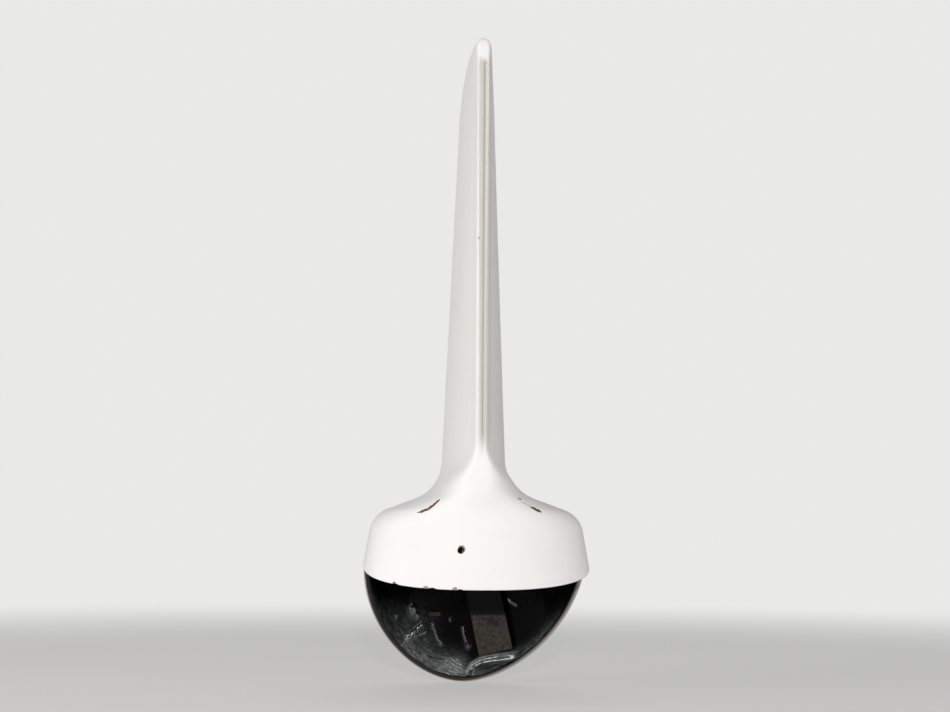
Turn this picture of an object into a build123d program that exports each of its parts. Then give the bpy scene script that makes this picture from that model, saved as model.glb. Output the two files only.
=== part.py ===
from build123d import *
import math
import os

# Blade antenna: a slim moulded mast that flows by concave fillets into a wide hollow pod.
# Millimetres. +Z runs up the mast, -Y is its blunt near edge, +Y the nose, X = 0 its plane of symmetry.
# The origin is the seat datum: the level of the near rim, on that plane, under the middle of the mast.

# Wall of the moulding
WALL = 2.5
SEAM_DEPTH = 8.0

# Pod
POD_HALF_WIDTH = 57.0
POD_NEAR_Y = -44.7
POD_FAR_Y = 59.7
POD_BROAD_Y = -13.4
POD_SQUARENESS = 2.42
SIDE_DRAFT = 10.3
NEAR_DRAFT = 2.0
FAR_DRAFT = 14.2
SKIRT_DEPTH = 60.0
NOSE_FULLNESS = 1.82
SHOULDER_Z = 35.6
SHOULDER_RADIUS = 14.0
ROOF_RISE = 20.8
ROOT_RADIUS = 20.6

# Mast
ROOT_HALF_WIDTH = 16.3
MAST_HALF_WIDTH_TOP = 8.4
MAST_BROAD_TOP_Z = 236.8
MAST_TOP_Z = 265.3
MAST_NEAR_Y = -45.1
MAST_FAR_Y = 46.6
MAST_FAR_Y_TOP = 32.5
MAST_BROAD_Y = 10.6
MAST_BROAD_Y_TOP = 4.0
EDGE_HALF_WIDTH = 3.5
EDGE_HALF_WIDTH_TOP = 3.7
EDGE_SQUARENESS = 8.0
SIDE_FULLNESS = 1.6
MAST_FULLNESS = 2.0
TIP_SETBACK = 3.0
TIP_NARROWING = 0.25
TIP_FULLNESS = 0.33

# Directions at which a section's outline is drawn, in degrees from its near end and from its far end
NEAR_DIRECTIONS = (12, 24, 34, 41, 45, 49, 56, 66, 78, 90)
FAR_DIRECTIONS = (75, 60, 45, 30, 15)

# Stations of the sections: shares of the shoulder, roof and root, and steps round the tip in degrees
SHOULDER_STATIONS = (0.0, 0.25, 0.5, 0.75)
ROOF_STATIONS = (0.0, 0.5)
ROOT_STATIONS = (0.0, 0.2, 0.4, 0.6, 0.8, 1.0)
TIP_STATIONS = (0, 18, 36, 52, 65, 75, 82, 87)
HOLLOW_TIP_STATIONS = (0, 14, 28)

# Groove of the bond line, down the near edge of the mast
GROOVE_RADIUS = 3.4
GROOVE_DEPTH = 1.0
GROOVE_FOOT_RADIUS = 1.8
GROOVE_FOOT_DEPTH = 0.2
GROOVE_FOOT_Z = 66.0
GROOVE_TOP_Z = 253.5
GROOVE_RUN_OUT = 2.5

# Saddle line of the rim, seen from the side
SADDLE_NEAR_SLOPE = 20.5
SADDLE_FAR_SLOPE = 38.7
SADDLE_TIP_Z = -52.2
SADDLE_RADIUS = 19.0

# Hole drilled through the near face
DRILLED_RADIUS = 1.6
DRILLED_X = -9.3
DRILLED_Z = 18.8

# Radiator strip, bonded into the near edge of the mast
RADIATOR_THICKNESS = 1.0
RADIATOR_SEAT = 4.0
RADIATOR_WIDTH = 32.0
RADIATOR_WIDTH_TOP = 22.0
RADIATOR_TOP_Z = 235.0
RADIATOR_TAB_WIDTH = 6.0
RADIATOR_TAB_Y = -18.0
RADIATOR_TAB_TAIL = 1.5
RADIATOR_CORNER = 3.0

# Resin plug at the foot of the mast
SEAL_BOTTOM_Z = 48.0
SEAL_TOP_Z = 56.0

# Feed board, under four bosses moulded in the roof of the pod
BOARD_THICKNESS = 1.6
BOARD_BOTTOM_Z = 30.0
BOARD_WIDTH = 58.0
BOARD_LENGTH = 62.0
BOARD_CORNER = 5.0
BOARD_CENTRE_Y = -5.0
BOSS_RADIUS = 4.0
BOSS_SPACING_X = 46.0
BOSS_SPACING_Y = 50.0
PILOT_RADIUS = 1.25
PILOT_DEPTH = 7.0
SCREW_SHANK_RADIUS = 1.2
SCREW_LENGTH = 8.0
SCREW_HOLE_RADIUS = 1.6
SCREW_HEAD_RADIUS = 2.8
SCREW_HEAD_HEIGHT = 2.0
SCREW_HEAD_ROUND = 1.0
SCREW_SLOT_WIDTH = 0.8
SCREW_SLOT_DEPTH = 1.0
WASHER_RADIUS = 3.5
WASHER_THICKNESS = 0.5

# Coaxial jack, bayonet size, pointing down
JACK_Y = 8.0
FLANGE_SIZE = 17.5
FLANGE_THICKNESS = 2.0
FLANGE_CORNER = 1.5
JACK_RADIUS = 4.8
JACK_BORE_RADIUS = 4.05
JACK_LENGTH = 13.0
JACK_NECK_RADIUS = 5.6
JACK_NECK_LENGTH = 3.0
JACK_BORE_DEPTH = 9.0
JACK_CHAMFER = 0.19
LUG_RADIUS = 1.0
LUG_REACH = 5.5
LUG_SETBACK = 3.6
INSULATOR_RADIUS = 2.6
INSULATOR_NOSE_RADIUS = 2.3
INSULATOR_NOSE_SETBACK = 1.0
INSULATOR_TAIL = 1.2
CONTACT_RADIUS = 1.05
CONTACT_BORE_RADIUS = 0.65
CONTACT_BORE_DEPTH = 5.0
CONTACT_TAIL = 3.0
JACK_SCREW_SPACING = 12.7
JACK_SCREW_RADIUS = 1.2
JACK_SCREW_HEAD_RADIUS = 2.1
JACK_SCREW_HEAD_HEIGHT = 1.5
JACK_SCREW_HEAD_ROUND = 0.75
JACK_SCREW_SLOT_DEPTH = 0.75
JACK_SCREW_CLEARANCE = 0.1
NUT_RADIUS = 2.8
NUT_HEIGHT = 1.8
SCREW_END = 1.0

# Ground strap, from under the jack to the far wall
STRAP_THICKNESS = 0.8
STRAP_WIDTH = 17.5
STRAP_LEG_Y = 43.0
STRAP_LEAN = 10.0
STRAP_BEND_RADIUS = 2.0
STRAP_FOOT_START_Y = -2.0
STRAP_TOP_X = 1.5
STRAP_SKEW = 12.5
STRAP_END_Z = -37.0
STRAP_END_SLOPE = 12.0
BOND_HEIGHT = 13.0
BOND_WIDTH = 13.0
BOND_LIFT = 3.0
BOND_CORNER = 3.0

# Brass bonding tab, left of the strap
TAB_X = -16.9
TAB_Z = -15.5
TAB_WIDTH = 6.2
TAB_THICKNESS = 2.0
TAB_CORNER = 0.7
TAB_END_Y = 50.0

# Matching coil and capacitor, under the feed board
COIL_INSET = 13.0
COIL_Y = -14.0
COIL_RADIUS = 5.0
COIL_WIRE_RADIUS = 0.6
COIL_PITCH = 2.6
COIL_TURNS = 5
COIL_DROP = 7.5
CAPACITOR_X = 13.0
CAPACITOR_Y = -16.0
CAPACITOR_RADIUS = 4.5
CAPACITOR_THICKNESS = 3.0
CAPACITOR_ROUND = 1.0
CAPACITOR_DROP = 7.0
LEAD_RADIUS = 0.4
LEAD_SPACING = 5.0


def tangent(degrees):
    return math.tan(math.radians(degrees))


# Front outline of the right half: skirt, shoulder, roof, concave root and mast, up to where the tip begins
shoulder_x = POD_HALF_WIDTH - SHOULDER_Z * tangent(SIDE_DRAFT)
roof_z = SHOULDER_Z + (shoulder_x - ROOT_HALF_WIDTH) * tangent(ROOF_RISE)
with BuildLine() as front_outline:
    FilletPolyline(
        (POD_HALF_WIDTH + SKIRT_DEPTH * tangent(SIDE_DRAFT), -SKIRT_DEPTH),
        (shoulder_x, SHOULDER_Z),
        (ROOT_HALF_WIDTH, roof_z),
        (MAST_HALF_WIDTH_TOP, MAST_BROAD_TOP_Z),
        radius=[SHOULDER_RADIUS, ROOT_RADIUS],
    )
skirt, shoulder, roof, root, mast = front_outline.edges().sort_by(Axis.Y)


def section_sizes(half_width, height):
    """Ends, widest place and shape of the section at a point of the front outline."""
    settled = min(max((shoulder_x - half_width) / (shoulder_x - ROOT_HALF_WIDTH), 0.0), 1.0)
    climbed = min(max((height - roof_z) / (MAST_BROAD_TOP_Z - roof_z), 0.0), 1.0)
    pod_near = POD_NEAR_Y + height * tangent(NEAR_DRAFT)
    pod_far = POD_FAR_Y - height * tangent(FAR_DRAFT)
    mast_far = MAST_FAR_Y + (MAST_FAR_Y_TOP - MAST_FAR_Y) * climbed
    mast_broad = MAST_BROAD_Y + (MAST_BROAD_Y_TOP - MAST_BROAD_Y) * climbed
    edge = EDGE_HALF_WIDTH + (EDGE_HALF_WIDTH_TOP - EDGE_HALF_WIDTH) * climbed
    return {
        "height": height,
        "half_width": half_width,
        "near": pod_near + (MAST_NEAR_Y - pod_near) * settled,
        "broad": POD_BROAD_Y + (mast_broad - POD_BROAD_Y) * settled,
        "far": pod_far + (mast_far - pod_far) * settled,
        "draw_in": (1 - edge / half_width) * settled**2,
        "squareness": POD_SQUARENESS + (EDGE_SQUARENESS - POD_SQUARENESS) * settled**2,
        "fullness": NOSE_FULLNESS + (MAST_FULLNESS - NOSE_FULLNESS) * settled,
        "settled": settled,
    }


def inset_sizes(sizes, slope):
    """The same section one wall further in, square to the outline, and clear of the solid near edge."""
    depth = WALL + (SEAM_DEPTH - WALL) * sizes["settled"] ** 2
    reach = 1 - depth / (sizes["broad"] - sizes["near"])
    edge = sizes["half_width"] * (1 - sizes["draw_in"] * reach**SIDE_FULLNESS) - WALL
    half_width = sizes["half_width"] - WALL * slope.Y
    inset = dict(sizes)
    inset["height"] = sizes["height"] + WALL * slope.X
    inset["half_width"] = half_width
    inset["near"] = sizes["near"] + depth
    inset["far"] = sizes["far"] - WALL
    inset["draw_in"] = max(1 - edge / half_width, 0.0) * sizes["settled"] ** 2
    return inset


def draw_section(sizes):
    """Closed outline of two superellipses. The near one is drawn in towards its end."""
    square = sizes["squareness"]
    full = sizes["fullness"]
    side = []
    for angle in NEAR_DIRECTIONS:
        along = math.cos(math.radians(angle))
        across = math.sin(math.radians(angle))
        reach = (along**square + across**square) ** (-1 / square)
        narrowing = 1 - sizes["draw_in"] * (along * reach) ** SIDE_FULLNESS
        y = sizes["broad"] - (sizes["broad"] - sizes["near"]) * along * reach
        side.append((sizes["half_width"] * across * reach * narrowing, y))
    for angle in FAR_DIRECTIONS:
        along = math.cos(math.radians(angle))
        across = math.sin(math.radians(angle))
        reach = (along**full + across**full) ** (-1 / full)
        y = sizes["broad"] + (sizes["far"] - sizes["broad"]) * along * reach
        side.append((sizes["half_width"] * across * reach, y))
    other_side = [(-x, y) for x, y in side]
    with BuildSketch(Plane.XY.offset(sizes["height"])) as section:
        with BuildLine():
            Spline((0, sizes["far"]), *reversed(side), (0, sizes["near"]), *other_side, periodic=True)
        make_face()
    return section.sketch


def outline_bands(wall_edge):
    """Sections up the moulding in three bands: the straight skirt, the rounds of shoulder and root, the mast.

    wall_edge turns the sizes at a station into the sizes that are drawn: of the outside, or of the hollow.
    """
    rounds = [(shoulder, at) for at in SHOULDER_STATIONS]
    rounds += [(roof, at) for at in ROOF_STATIONS]
    rounds += [(root, at) for at in ROOT_STATIONS]
    skirt_band = [wall_edge(*station(skirt, at)) for at in (0, 1)]
    round_band = [wall_edge(*station(edge, at)) for edge, at in rounds]
    mast_band = [wall_edge(*station(mast, at)) for at in (0, 1)]
    return skirt_band, round_band, mast_band


def station(edge, at):
    place = edge @ at
    return section_sizes(place.X, place.Y), edge % at


def outside(sizes, slope):
    return sizes


def tip_sizes(angle):
    """Section of the rounded tip: the chord shrinks as a quarter of an ellipse, the width at first evenly."""
    sizes = section_sizes(MAST_HALF_WIDTH_TOP, MAST_BROAD_TOP_Z)
    shrink = math.cos(math.radians(angle))
    climb = math.sin(math.radians(angle))
    near = sizes["near"] + TIP_SETBACK * (1 - shrink)
    half_width = sizes["half_width"] * (1 - TIP_NARROWING * climb) * shrink**TIP_FULLNESS
    sizes["height"] = MAST_BROAD_TOP_Z + (MAST_TOP_Z - MAST_BROAD_TOP_Z) * climb
    sizes["draw_in"] = max(1 - EDGE_HALF_WIDTH_TOP / half_width, 0)
    sizes["half_width"] = half_width
    sizes["broad"] = near + (sizes["broad"] - sizes["near"]) * shrink
    sizes["far"] = near + (sizes["far"] - sizes["near"]) * shrink
    sizes["near"] = near
    return sizes


outer_bands = [*outline_bands(outside), [tip_sizes(angle) for angle in TIP_STATIONS]]
hollow_tip = [inset_sizes(tip_sizes(angle), mast % 1) for angle in HOLLOW_TIP_STATIONS]
inner_bands = [*outline_bands(inset_sizes), hollow_tip]

with BuildPart() as outer:
    for band in outer_bands:
        for sizes in band:
            add(draw_section(sizes))
        loft()

with BuildPart() as hollow:
    for band in inner_bands:
        for sizes in band:
            add(draw_section(sizes))
        loft()

# Everything below the saddle line, which rises from the near rim, rounds over and falls to the far rim
saddle_far_y = POD_FAR_Y - SADDLE_TIP_Z * tangent(FAR_DRAFT)
saddle_span = saddle_far_y - POD_NEAR_Y
saddle_drop = saddle_span * tangent(SADDLE_FAR_SLOPE) + SADDLE_TIP_Z
crown_y = POD_NEAR_Y + saddle_drop / (tangent(SADDLE_NEAR_SLOPE) + tangent(SADDLE_FAR_SLOPE))
crown_z = (crown_y - POD_NEAR_Y) * tangent(SADDLE_NEAR_SLOPE)
saddle_margin = SKIRT_DEPTH
saddle_start = (POD_NEAR_Y - saddle_margin, -saddle_margin * tangent(SADDLE_NEAR_SLOPE))
saddle_end_z = SADDLE_TIP_Z - saddle_margin * tangent(SADDLE_FAR_SLOPE)
saddle_end = (saddle_far_y + saddle_margin, saddle_end_z)
saddle_floor = saddle_end_z - saddle_margin
with BuildPart() as below_saddle:
    with BuildSketch(Plane.YZ):
        with BuildLine():
            FilletPolyline(saddle_start, (crown_y, crown_z), saddle_end, radius=SADDLE_RADIUS)
            Polyline(saddle_end, (saddle_end[0], saddle_floor), (saddle_start[0], saddle_floor), saddle_start)
        make_face()
    extrude(amount=2 * POD_HALF_WIDTH, both=True)

# Radiator strip: a tapered blade in the plane of symmetry, a narrow tab at its foot, one edge in the seam
radiator_edge_y = MAST_NEAR_Y + RADIATOR_SEAT
tab_far_y = RADIATOR_TAB_Y + RADIATOR_TAB_WIDTH
tab_end_z = BOARD_BOTTOM_Z - RADIATOR_TAB_TAIL
with BuildPart() as radiator_strip:
    with BuildSketch(Plane.YZ):
        with BuildLine():
            Polyline(
                (radiator_edge_y, SEAL_BOTTOM_Z),
                (RADIATOR_TAB_Y, SEAL_BOTTOM_Z),
                (RADIATOR_TAB_Y, tab_end_z),
                (tab_far_y, tab_end_z),
                (tab_far_y, SEAL_BOTTOM_Z),
                (radiator_edge_y + RADIATOR_WIDTH, SEAL_BOTTOM_Z),
                (radiator_edge_y + RADIATOR_WIDTH_TOP, RADIATOR_TOP_Z),
                (radiator_edge_y, RADIATOR_TOP_Z),
                close=True,
            )
        make_face()
    extrude(amount=RADIATOR_THICKNESS / 2, both=True)
    fillet(radiator_strip.edges().filter_by(Axis.X).group_by(Axis.Z)[-1], radius=RADIATOR_CORNER)

# The hollow as it is moulded: four bosses hang from its roof, and nothing is hollow below the skirt
boss_bottom_z = BOARD_BOTTOM_Z + BOARD_THICKNESS
with BuildPart() as moulded_hollow:
    add(hollow.part)
    with BuildSketch(Plane.XY.offset(boss_bottom_z)):
        with Locations((0, BOARD_CENTRE_Y)):
            with GridLocations(BOSS_SPACING_X, BOSS_SPACING_Y, 2, 2):
                Circle(BOSS_RADIUS)
    extrude(amount=roof_z, mode=Mode.SUBTRACT)

# Fairing shell: the whole moulding, cut to the saddle line. The groove follows its near edge up to the tip
tip_rise = MAST_TOP_Z - MAST_BROAD_TOP_Z
groove_climb = (GROOVE_TOP_Z - MAST_BROAD_TOP_Z) / tip_rise
groove_setback = TIP_SETBACK * (1 - math.sqrt(1 - groove_climb**2))
groove_foot_y = MAST_NEAR_Y + GROOVE_FOOT_DEPTH - GROOVE_FOOT_RADIUS
groove_bend_y = MAST_NEAR_Y + GROOVE_DEPTH - GROOVE_RADIUS
groove_top_y = groove_bend_y + groove_setback
groove_path = (
    (GROOVE_FOOT_Z, groove_foot_y, GROOVE_FOOT_RADIUS),
    (MAST_BROAD_TOP_Z, groove_bend_y, GROOVE_RADIUS),
    (GROOVE_TOP_Z, groove_top_y, GROOVE_RADIUS),
    (GROOVE_TOP_Z + GROOVE_RUN_OUT, groove_top_y - GROOVE_DEPTH, GROOVE_RADIUS),
)
with BuildPart() as groove:
    for groove_z, groove_y, radius in groove_path:
        with BuildSketch(Plane.XY.offset(groove_z)):
            with Locations((0, groove_y)):
                Circle(radius)
    loft(ruled=True)

drilled_plane = Plane(
    origin=(DRILLED_X, POD_NEAR_Y + DRILLED_Z * tangent(NEAR_DRAFT), DRILLED_Z),
    z_dir=(0, -1, tangent(NEAR_DRAFT)),
)
with BuildPart() as fairing_shell:
    add(outer.part)
    add(moulded_hollow.part, mode=Mode.SUBTRACT)
    add(below_saddle.part, mode=Mode.SUBTRACT)
    add(groove.part, mode=Mode.SUBTRACT)
    with BuildSketch(drilled_plane):
        Circle(DRILLED_RADIUS)
    extrude(amount=2 * WALL, both=True, mode=Mode.SUBTRACT)
    with BuildSketch(Plane.XY.offset(boss_bottom_z)):
        with Locations((0, BOARD_CENTRE_Y)):
            with GridLocations(BOSS_SPACING_X, BOSS_SPACING_Y, 2, 2):
                Circle(PILOT_RADIUS)
    extrude(amount=PILOT_DEPTH, mode=Mode.SUBTRACT)
    add(radiator_strip.part, mode=Mode.SUBTRACT)

# Resin plug: fills the foot of the mast round the radiator
with BuildPart() as root_seal:
    add(hollow.part)
    with BuildSketch(Plane.XY.offset(SEAL_BOTTOM_Z)):
        Rectangle(2 * POD_HALF_WIDTH, 2 * POD_FAR_Y)
    extrude(amount=SEAL_TOP_Z - SEAL_BOTTOM_Z, mode=Mode.INTERSECT)
    add(radiator_strip.part, mode=Mode.SUBTRACT)

# Feed board, with holes for its screws, the jack, the jack's screws and the radiator's tab
with BuildPart() as feed_board:
    with BuildSketch(Plane.XY.offset(BOARD_BOTTOM_Z)):
        with Locations((0, BOARD_CENTRE_Y)):
            RectangleRounded(BOARD_WIDTH, BOARD_LENGTH, BOARD_CORNER)
            with GridLocations(BOSS_SPACING_X, BOSS_SPACING_Y, 2, 2):
                Circle(SCREW_HOLE_RADIUS, mode=Mode.SUBTRACT)
        with Locations((0, JACK_Y)):
            Circle(INSULATOR_RADIUS, mode=Mode.SUBTRACT)
            with GridLocations(JACK_SCREW_SPACING, JACK_SCREW_SPACING, 2, 2):
                Circle(JACK_SCREW_RADIUS + JACK_SCREW_CLEARANCE, mode=Mode.SUBTRACT)
        with Locations((0, RADIATOR_TAB_Y + RADIATOR_TAB_WIDTH / 2)):
            Rectangle(RADIATOR_THICKNESS, RADIATOR_TAB_WIDTH, mode=Mode.SUBTRACT)
    extrude(amount=BOARD_THICKNESS)

# Screws and washers that hold the board up to the bosses
washer_bottom_z = BOARD_BOTTOM_Z - WASHER_THICKNESS
with BuildPart() as board_washers:
    with BuildSketch(Plane.XY.offset(washer_bottom_z)):
        with Locations((0, BOARD_CENTRE_Y)):
            with GridLocations(BOSS_SPACING_X, BOSS_SPACING_Y, 2, 2):
                Circle(WASHER_RADIUS)
                Circle(SCREW_HOLE_RADIUS, mode=Mode.SUBTRACT)
    extrude(amount=WASHER_THICKNESS)

with BuildPart() as board_screws:
    with BuildSketch(Plane.XY.offset(washer_bottom_z)):
        with Locations((0, BOARD_CENTRE_Y)):
            with GridLocations(BOSS_SPACING_X, BOSS_SPACING_Y, 2, 2):
                Circle(SCREW_HEAD_RADIUS)
    extrude(amount=-SCREW_HEAD_HEIGHT)
    fillet(board_screws.faces().sort_by(Axis.Z)[:4].edges(), radius=SCREW_HEAD_ROUND)
    with BuildSketch(Plane.XY.offset(washer_bottom_z)):
        with Locations((0, BOARD_CENTRE_Y)):
            with GridLocations(BOSS_SPACING_X, BOSS_SPACING_Y, 2, 2):
                Circle(SCREW_SHANK_RADIUS)
    extrude(amount=SCREW_LENGTH)
    with BuildSketch(Plane.XY.offset(washer_bottom_z - SCREW_HEAD_HEIGHT)):
        with Locations((0, BOARD_CENTRE_Y)):
            with GridLocations(BOSS_SPACING_X, BOSS_SPACING_Y, 2, 2):
                Rectangle(2 * SCREW_HEAD_RADIUS, SCREW_SLOT_WIDTH)
    extrude(amount=SCREW_SLOT_DEPTH, mode=Mode.SUBTRACT)

# Ground strap: a foot between the board and the jack, a bend, and a skewed leg down the inside of the nose
strap_bottom_z = BOARD_BOTTOM_Z - STRAP_THICKNESS
leg_top_z = strap_bottom_z - 2 * STRAP_BEND_RADIUS
leg_top_y = STRAP_LEG_Y + 2 * STRAP_BEND_RADIUS * tangent(STRAP_LEAN)
leg_plane = Plane(
    origin=(STRAP_TOP_X, leg_top_y, leg_top_z),
    x_dir=(1, 0, 0),
    z_dir=(0, -1, -tangent(STRAP_LEAN)),
)
leg_length = (leg_top_z - STRAP_END_Z) / math.cos(math.radians(STRAP_LEAN))
leg_end_x = leg_length * tangent(STRAP_SKEW)
with BuildPart() as ground_strap:
    with BuildSketch(Plane.YZ.offset(STRAP_TOP_X)):
        with BuildLine():
            FilletPolyline(
                (STRAP_FOOT_START_Y, strap_bottom_z),
                (STRAP_LEG_Y, strap_bottom_z),
                (leg_top_y, leg_top_z),
                radius=STRAP_BEND_RADIUS,
            )
            offset(amount=STRAP_THICKNESS, side=Side.LEFT)
        make_face()
    extrude(amount=STRAP_WIDTH / 2, both=True)
    with BuildSketch(leg_plane):
        with BuildLine():
            Polyline(
                (-STRAP_WIDTH / 2, 0),
                (STRAP_WIDTH / 2, 0),
                (leg_end_x + STRAP_WIDTH / 2, -leg_length + STRAP_WIDTH * tangent(STRAP_END_SLOPE)),
                (leg_end_x - STRAP_WIDTH / 2, -leg_length),
                close=True,
            )
        make_face()
    extrude(amount=-STRAP_THICKNESS)
    with BuildSketch(Plane.XY.offset(strap_bottom_z)):
        with Locations((0, JACK_Y)):
            Circle(INSULATOR_RADIUS)
            with GridLocations(JACK_SCREW_SPACING, JACK_SCREW_SPACING, 2, 2):
                Circle(JACK_SCREW_RADIUS + JACK_SCREW_CLEARANCE)
    extrude(amount=STRAP_THICKNESS, mode=Mode.SUBTRACT)

# Resin pad between the end of the strap and the wall of the nose
with BuildPart() as strap_bond:
    with BuildSketch(leg_plane.offset(-STRAP_THICKNESS)):
        with Locations((leg_end_x, BOND_HEIGHT / 2 + BOND_LIFT - leg_length)):
            RectangleRounded(BOND_WIDTH, BOND_HEIGHT, BOND_CORNER)
    extrude(amount=-POD_FAR_Y)
    add(hollow.part, mode=Mode.INTERSECT)

# Brass bonding tab, standing out of the wall of the nose
with BuildPart() as bonding_tab:
    with BuildSketch(Plane.XZ.offset(-TAB_END_Y)):
        with Locations((TAB_X, TAB_Z)):
            RectangleRounded(TAB_WIDTH, TAB_THICKNESS, TAB_CORNER)
    extrude(amount=-POD_FAR_Y)
    add(hollow.part, mode=Mode.INTERSECT)

# Coaxial jack: flange, neck, barrel with two bayonet lugs, and the sleeve that passes the strap and the board
flange_bottom_z = strap_bottom_z - FLANGE_THICKNESS
jack_end_z = flange_bottom_z - JACK_LENGTH
jack_floor_z = jack_end_z + JACK_BORE_DEPTH
lug_z = jack_end_z + LUG_SETBACK
with BuildPart() as connector_body:
    with BuildSketch(Plane.XY.offset(flange_bottom_z)):
        with Locations((0, JACK_Y)):
            RectangleRounded(FLANGE_SIZE, FLANGE_SIZE, FLANGE_CORNER)
            with GridLocations(JACK_SCREW_SPACING, JACK_SCREW_SPACING, 2, 2):
                Circle(JACK_SCREW_RADIUS + JACK_SCREW_CLEARANCE, mode=Mode.SUBTRACT)
    extrude(amount=FLANGE_THICKNESS)
    with BuildSketch(Plane.XY.offset(flange_bottom_z)):
        with Locations((0, JACK_Y)):
            Circle(JACK_NECK_RADIUS)
    extrude(amount=-JACK_NECK_LENGTH)
    with BuildSketch(Plane.XY.offset(jack_end_z)):
        with Locations((0, JACK_Y)):
            Circle(JACK_RADIUS)
    extrude(amount=JACK_LENGTH)
    with BuildSketch(Plane.YZ):
        with Locations((JACK_Y, lug_z)):
            Circle(LUG_RADIUS)
    extrude(amount=LUG_REACH, both=True)
    with BuildSketch(Plane.XY.offset(jack_end_z)):
        with Locations((0, JACK_Y)):
            Circle(JACK_BORE_RADIUS)
    extrude(amount=JACK_BORE_DEPTH, mode=Mode.SUBTRACT)
    with BuildSketch(Plane.XY.offset(jack_end_z)):
        with Locations((0, JACK_Y)):
            Circle(INSULATOR_RADIUS)
    extrude(amount=JACK_LENGTH + FLANGE_THICKNESS, mode=Mode.SUBTRACT)
    chamfer(connector_body.faces().sort_by(Axis.Z)[0].edges(), length=JACK_CHAMFER)

insulator_bottom_z = jack_end_z + INSULATOR_NOSE_SETBACK
insulator_top_z = boss_bottom_z + INSULATOR_TAIL
with BuildPart() as connector_insulator:
    with BuildSketch(Plane.XY.offset(jack_floor_z)):
        with Locations((0, JACK_Y)):
            Circle(INSULATOR_RADIUS)
    extrude(amount=insulator_top_z - jack_floor_z)
    with BuildSketch(Plane.XY.offset(insulator_bottom_z)):
        with Locations((0, JACK_Y)):
            Circle(INSULATOR_NOSE_RADIUS)
    extrude(amount=jack_floor_z - insulator_bottom_z)
    with BuildSketch(Plane.XY.offset(insulator_bottom_z)):
        with Locations((0, JACK_Y)):
            Circle(CONTACT_RADIUS)
    extrude(amount=insulator_top_z - insulator_bottom_z, mode=Mode.SUBTRACT)

contact_top_z = insulator_top_z + CONTACT_TAIL
with BuildPart() as connector_contact:
    with BuildSketch(Plane.XY.offset(insulator_bottom_z)):
        with Locations((0, JACK_Y)):
            Circle(CONTACT_RADIUS)
    extrude(amount=contact_top_z - insulator_bottom_z)
    with BuildSketch(Plane.XY.offset(insulator_bottom_z)):
        with Locations((0, JACK_Y)):
            Circle(CONTACT_BORE_RADIUS)
    extrude(amount=CONTACT_BORE_DEPTH, mode=Mode.SUBTRACT)

# Screws up through the flange, the strap and the board, into nuts on top
nut_top_z = boss_bottom_z + NUT_HEIGHT
with BuildPart() as connector_screws:
    with BuildSketch(Plane.XY.offset(flange_bottom_z)):
        with Locations((0, JACK_Y)):
            with GridLocations(JACK_SCREW_SPACING, JACK_SCREW_SPACING, 2, 2):
                Circle(JACK_SCREW_HEAD_RADIUS)
    extrude(amount=-JACK_SCREW_HEAD_HEIGHT)
    fillet(connector_screws.faces().sort_by(Axis.Z)[:4].edges(), radius=JACK_SCREW_HEAD_ROUND)
    with BuildSketch(Plane.XY.offset(flange_bottom_z - JACK_SCREW_HEAD_HEIGHT)):
        with Locations((0, JACK_Y)):
            with GridLocations(JACK_SCREW_SPACING, JACK_SCREW_SPACING, 2, 2):
                Rectangle(2 * JACK_SCREW_HEAD_RADIUS, SCREW_SLOT_WIDTH)
    extrude(amount=JACK_SCREW_SLOT_DEPTH, mode=Mode.SUBTRACT)
    with BuildSketch(Plane.XY.offset(flange_bottom_z)):
        with Locations((0, JACK_Y)):
            with GridLocations(JACK_SCREW_SPACING, JACK_SCREW_SPACING, 2, 2):
                Circle(JACK_SCREW_RADIUS)
    extrude(amount=nut_top_z + SCREW_END - flange_bottom_z)

with BuildPart() as connector_nuts:
    with BuildSketch(Plane.XY.offset(boss_bottom_z)):
        with Locations((0, JACK_Y)):
            with GridLocations(JACK_SCREW_SPACING, JACK_SCREW_SPACING, 2, 2):
                RegularPolygon(NUT_RADIUS, 6)
                Circle(JACK_SCREW_RADIUS, mode=Mode.SUBTRACT)
    extrude(amount=NUT_HEIGHT)

# Matching coil: an open winding below the board, its two legs soldered into the board
coil_length = COIL_PITCH * COIL_TURNS
coil_axis_z = BOARD_BOTTOM_Z - COIL_DROP
coil_start_y = COIL_Y - coil_length / 2
coil_x = COIL_INSET - BOARD_WIDTH / 2
with BuildPart() as matching_coil:
    with BuildLine():
        winding = Helix(
            pitch=COIL_PITCH,
            height=coil_length,
            radius=COIL_RADIUS,
            center=(coil_x, coil_start_y, coil_axis_z),
            direction=(0, 1, 0),
        )
    with BuildSketch(Plane(origin=winding @ 0, z_dir=winding % 0)):
        Circle(COIL_WIRE_RADIUS)
    sweep(path=winding, is_frenet=True)
    with BuildSketch(Plane.XY.offset((winding @ 0).Z)):
        with Locations(((winding @ 0).X, (winding @ 0).Y), ((winding @ 1).X, (winding @ 1).Y)):
            Circle(COIL_WIRE_RADIUS)
    extrude(amount=BOARD_BOTTOM_Z - (winding @ 0).Z)

# Tuning capacitor: a ceramic disc on two short leads
capacitor_z = BOARD_BOTTOM_Z - CAPACITOR_DROP
with BuildPart() as tuning_capacitor:
    with BuildSketch(Plane.YZ.offset(CAPACITOR_X - CAPACITOR_THICKNESS / 2)):
        with Locations((CAPACITOR_Y, capacitor_z)):
            Circle(CAPACITOR_RADIUS)
    extrude(amount=CAPACITOR_THICKNESS)
    fillet(tuning_capacitor.edges(), radius=CAPACITOR_ROUND)
    with BuildSketch(Plane.XY.offset(capacitor_z)):
        with Locations((CAPACITOR_X, CAPACITOR_Y)):
            with GridLocations(1, LEAD_SPACING, 1, 2):
                Circle(LEAD_RADIUS)
    extrude(amount=CAPACITOR_DROP)

os.makedirs("parts", exist_ok=True)

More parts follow.
